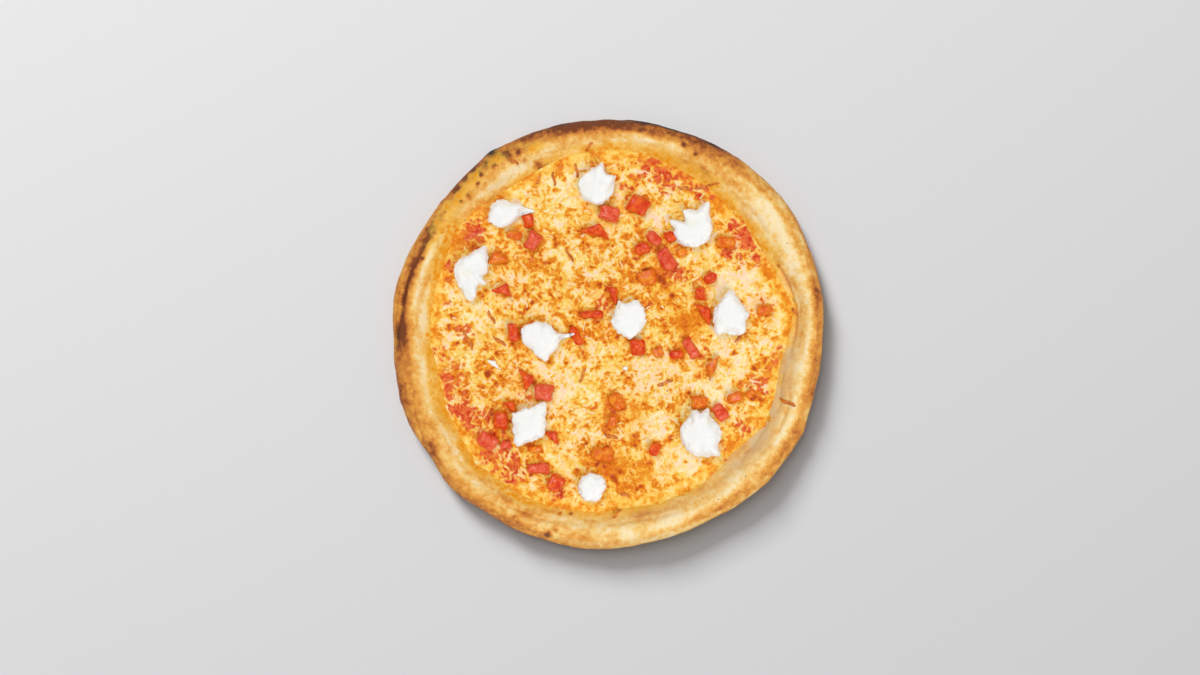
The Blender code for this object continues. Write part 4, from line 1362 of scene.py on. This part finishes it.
def crumb_spots(count):
    """Scorched specks, most of them on the rim's upper left and its lower edge."""
    draw = random.Random(81)
    spots = []

    def add_spot(radius, turn, least, most):
        reach = draw.uniform(least, most) * MM
        spots.append((radius * math.cos(turn), radius * math.sin(turn), reach))

    for _ in range(count):
        turn = math.radians(draw.gauss(*draw.choice([(130, 18), (265, 40), (60, 120)])))
        add_spot(draw.uniform(118, 143) * MM, turn, 0.2, 0.45)
    for _ in range(count // 3):
        radius = 115 * MM * math.sqrt(draw.random())
        add_spot(radius, draw.uniform(0, math.tau), 0.3, 0.6)
    return spots


# Stage

def place_light(name, power, size, location, floor=None, state="INCLUDE"):
    """A square soft light that faces the pizza, and may light only the floor or all but it."""
    light = bpy.data.lights.new(name, "AREA")
    light.energy = power
    light.size = size
    lamp = bpy.data.objects.new(name, light)
    bpy.context.scene.collection.objects.link(lamp)
    lamp.location = location
    lamp.rotation_euler = (-lamp.location).to_track_quat("-Z", "Y").to_euler()
    if floor:
        lit = bpy.data.collections.new(name + "_lit")
        lit.objects.link(floor)
        lit.collection_objects[0].light_linking.link_state = state
        lamp.light_linking.receiver_collection = lit


# Operators

class PIZZA_OT_stage(bpy.types.Operator):
    """Sets the floor, the soft light and the camera above"""
    bl_idname = "pizza.stage"
    bl_label = "Stage"

    def execute(self, context):
        look = context.scene.pizza_stage
        start_piece()
        bpy.ops.mesh.primitive_plane_add(size=FLOOR_WIDTH, location=(0, 0, 0))
        floor = named("floor")
        material, _, shader = new_material("floor_looks")
        shader.inputs["Base Color"].default_value = opaque(look.floor_colour)
        shader.inputs["Roughness"].default_value = 0.9
        shader.inputs["Specular IOR Level"].default_value = 0.1
        floor.data.materials.append(material)
        world = bpy.data.worlds.new("sky")
        world.use_nodes = True
        sky = world.node_tree.nodes["Background"]
        sky.inputs["Color"].default_value = opaque(look.sky_colour)
        sky.inputs["Strength"].default_value = look.sky_strength
        context.scene.world = world
        place_light("key", look.key_power, look.key_size, KEY_PLACE)
        place_light("fill", look.fill_power, look.fill_size, FILL_PLACE, floor, "EXCLUDE")
        place_light("low", look.low_power, look.low_size, LOW_PLACE, floor)
        camera = bpy.data.cameras.new("camera")
        camera.sensor_width = 36
        camera.lens = camera.sensor_width * look.camera_height / look.view_width
        camera_object = bpy.data.objects.new("camera", camera)
        context.scene.collection.objects.link(camera_object)
        camera_object.location = (look.view_x, look.view_y, look.camera_height)
        context.scene.camera = camera_object
        context.scene.view_settings.view_transform = "Standard"
        return {"FINISHED"}


class PIZZA_OT_crust(bpy.types.Operator):
    """Bakes the dough: its fine skin, creases, blisters and toasted places"""
    bl_idname = "pizza.crust"
    bl_label = "Crust"

    def execute(self, context):
        bake_crust()
        return {"FINISHED"}


class PIZZA_OT_sauce(bpy.types.Operator):
    """Spreads the sauce that shows round the cheese"""
    bl_idname = "pizza.sauce"
    bl_label = "Sauce"

    def execute(self, context):
        spread_sauce()
        return {"FINISHED"}


class PIZZA_OT_cheese(bpy.types.Operator):
    """Melts the cheese, then lays the shreds that stand out of it"""
    bl_idname = "pizza.cheese"
    bl_label = "Cheese"

    def execute(self, context):
        cheese = melt_cheese()
        layer = lay_cheese(cheese, bpy.data.objects["crust_skin"])
        body = melted_cheese()
        hand_over(layer, "melted_cheese", body, "cheese")
        strands = lay_strands(layer)
        hand_over(strands, "melted_cheese", body)
        toasted = lay_toasted_shreds(bpy.data.objects["crust_skin"], layer)
        hand_over(toasted, "melted_cheese", toasted_cheese())
        return {"FINISHED"}


class PIZZA_OT_tomato(bpy.types.Operator):
    """Cuts the tomato pieces, each with its skin, its flesh or oil on top"""
    bl_idname = "pizza.tomato"
    bl_label = "Tomato"

    def execute(self, context):
        materials = {kind: tomato_material(kind) for kind in ("skin", "flesh", "oiled")}
        for number in numbers_of("tomato_"):
            kind = "skin"
            if number in OILED_TOMATOES:
                kind = "oiled"
            elif number in FLESHY_TOMATOES:
                kind = "flesh"
            dice_tomato(number, materials[kind])
        return {"FINISHED"}


class PIZZA_OT_mozzarella(bpy.types.Operator):
    """Tears the fresh mozzarella"""
    bl_idname = "pizza.mozzarella"
    bl_label = "Mozzarella"

    def execute(self, context):
        material = fresh_mozzarella()
        under = [piece for piece in bpy.data.objects
                 if piece.name.startswith(("tomato_dice", "cheese_layer"))]
        ground = surface_reader(*under)
        for number in numbers_of("mozzarella_"):
            tear_mozzarella(number, material, ground)
        return {"FINISHED"}


class PIZZA_OT_crumbs(bpy.types.Operator):
    """Scatters scorched specks and one crumb of mozzarella"""
    bl_idname = "pizza.crumbs"
    bl_label = "Crumbs"

    def execute(self, context):
        surface = surface_reader(bpy.data.objects["crust_skin"], bpy.data.objects["cheese_layer"])
        spots = crumb_spots(context.scene.pizza_toppings.crumbs)
        specks = scatter_crumbs("scorched_specks", spots, surface)
        hand_over(specks, "baked_dough", scorched())
        crumb = scatter_crumbs("mozzarella_crumbs", [(12 * MM, -24 * MM, 1.8 * MM)], surface)
        write_attributes(crumb, hollow=np.zeros(len(crumb.data.vertices)))
        hand_over(crumb, "fresh_mozzarella", bpy.data.materials["fresh_mozzarella_looks"])
        return {"FINISHED"}


class PIZZA_PT_parts(bpy.types.Panel):
    """Lists the pizza's pieces and their settings"""
    bl_label = "Pizza"
    bl_idname = "PIZZA_PT_parts"
    bl_space_type = "VIEW_3D"
    bl_region_type = "UI"
    bl_category = "Pizza"

    def draw(self, context):
        for operator in OPERATORS:
            self.layout.operator(operator.bl_idname)
        for name, group in SETTINGS.items():
            box = self.layout.box()
            for key in group.__annotations__:
                box.prop(getattr(context.scene, name), key)


SETTINGS = {
    "pizza_stage": StageSettings,
    "pizza_crust": CrustSettings,
    "pizza_sauce": SauceSettings,
    "pizza_cheese": CheeseSettings,
    "pizza_toppings": ToppingSettings,
}
OPERATORS = (
    PIZZA_OT_stage,
    PIZZA_OT_crust,
    PIZZA_OT_sauce,
    PIZZA_OT_cheese,
    PIZZA_OT_tomato,
    PIZZA_OT_mozzarella,
    PIZZA_OT_crumbs,
)


def register():
    for group in SETTINGS.values():
        bpy.utils.register_class(group)
    for operator in OPERATORS:
        bpy.utils.register_class(operator)
    bpy.utils.register_class(PIZZA_PT_parts)
    for name, group in SETTINGS.items():
        setattr(bpy.types.Scene, name, PointerProperty(type=group))


def unregister():
    for name in SETTINGS:
        delattr(bpy.types.Scene, name)
    bpy.utils.unregister_class(PIZZA_PT_parts)
    for operator in reversed(OPERATORS):
        bpy.utils.unregister_class(operator)
    for group in SETTINGS.values():
        bpy.utils.unregister_class(group)


def main():
    register()
    bpy.ops.pizza.stage()
    bpy.ops.pizza.crust()
    bpy.ops.pizza.sauce()
    bpy.ops.pizza.cheese()
    bpy.ops.pizza.tomato()
    bpy.ops.pizza.mozzarella()
    bpy.ops.pizza.crumbs()


if __name__ == "__main__":
    main()
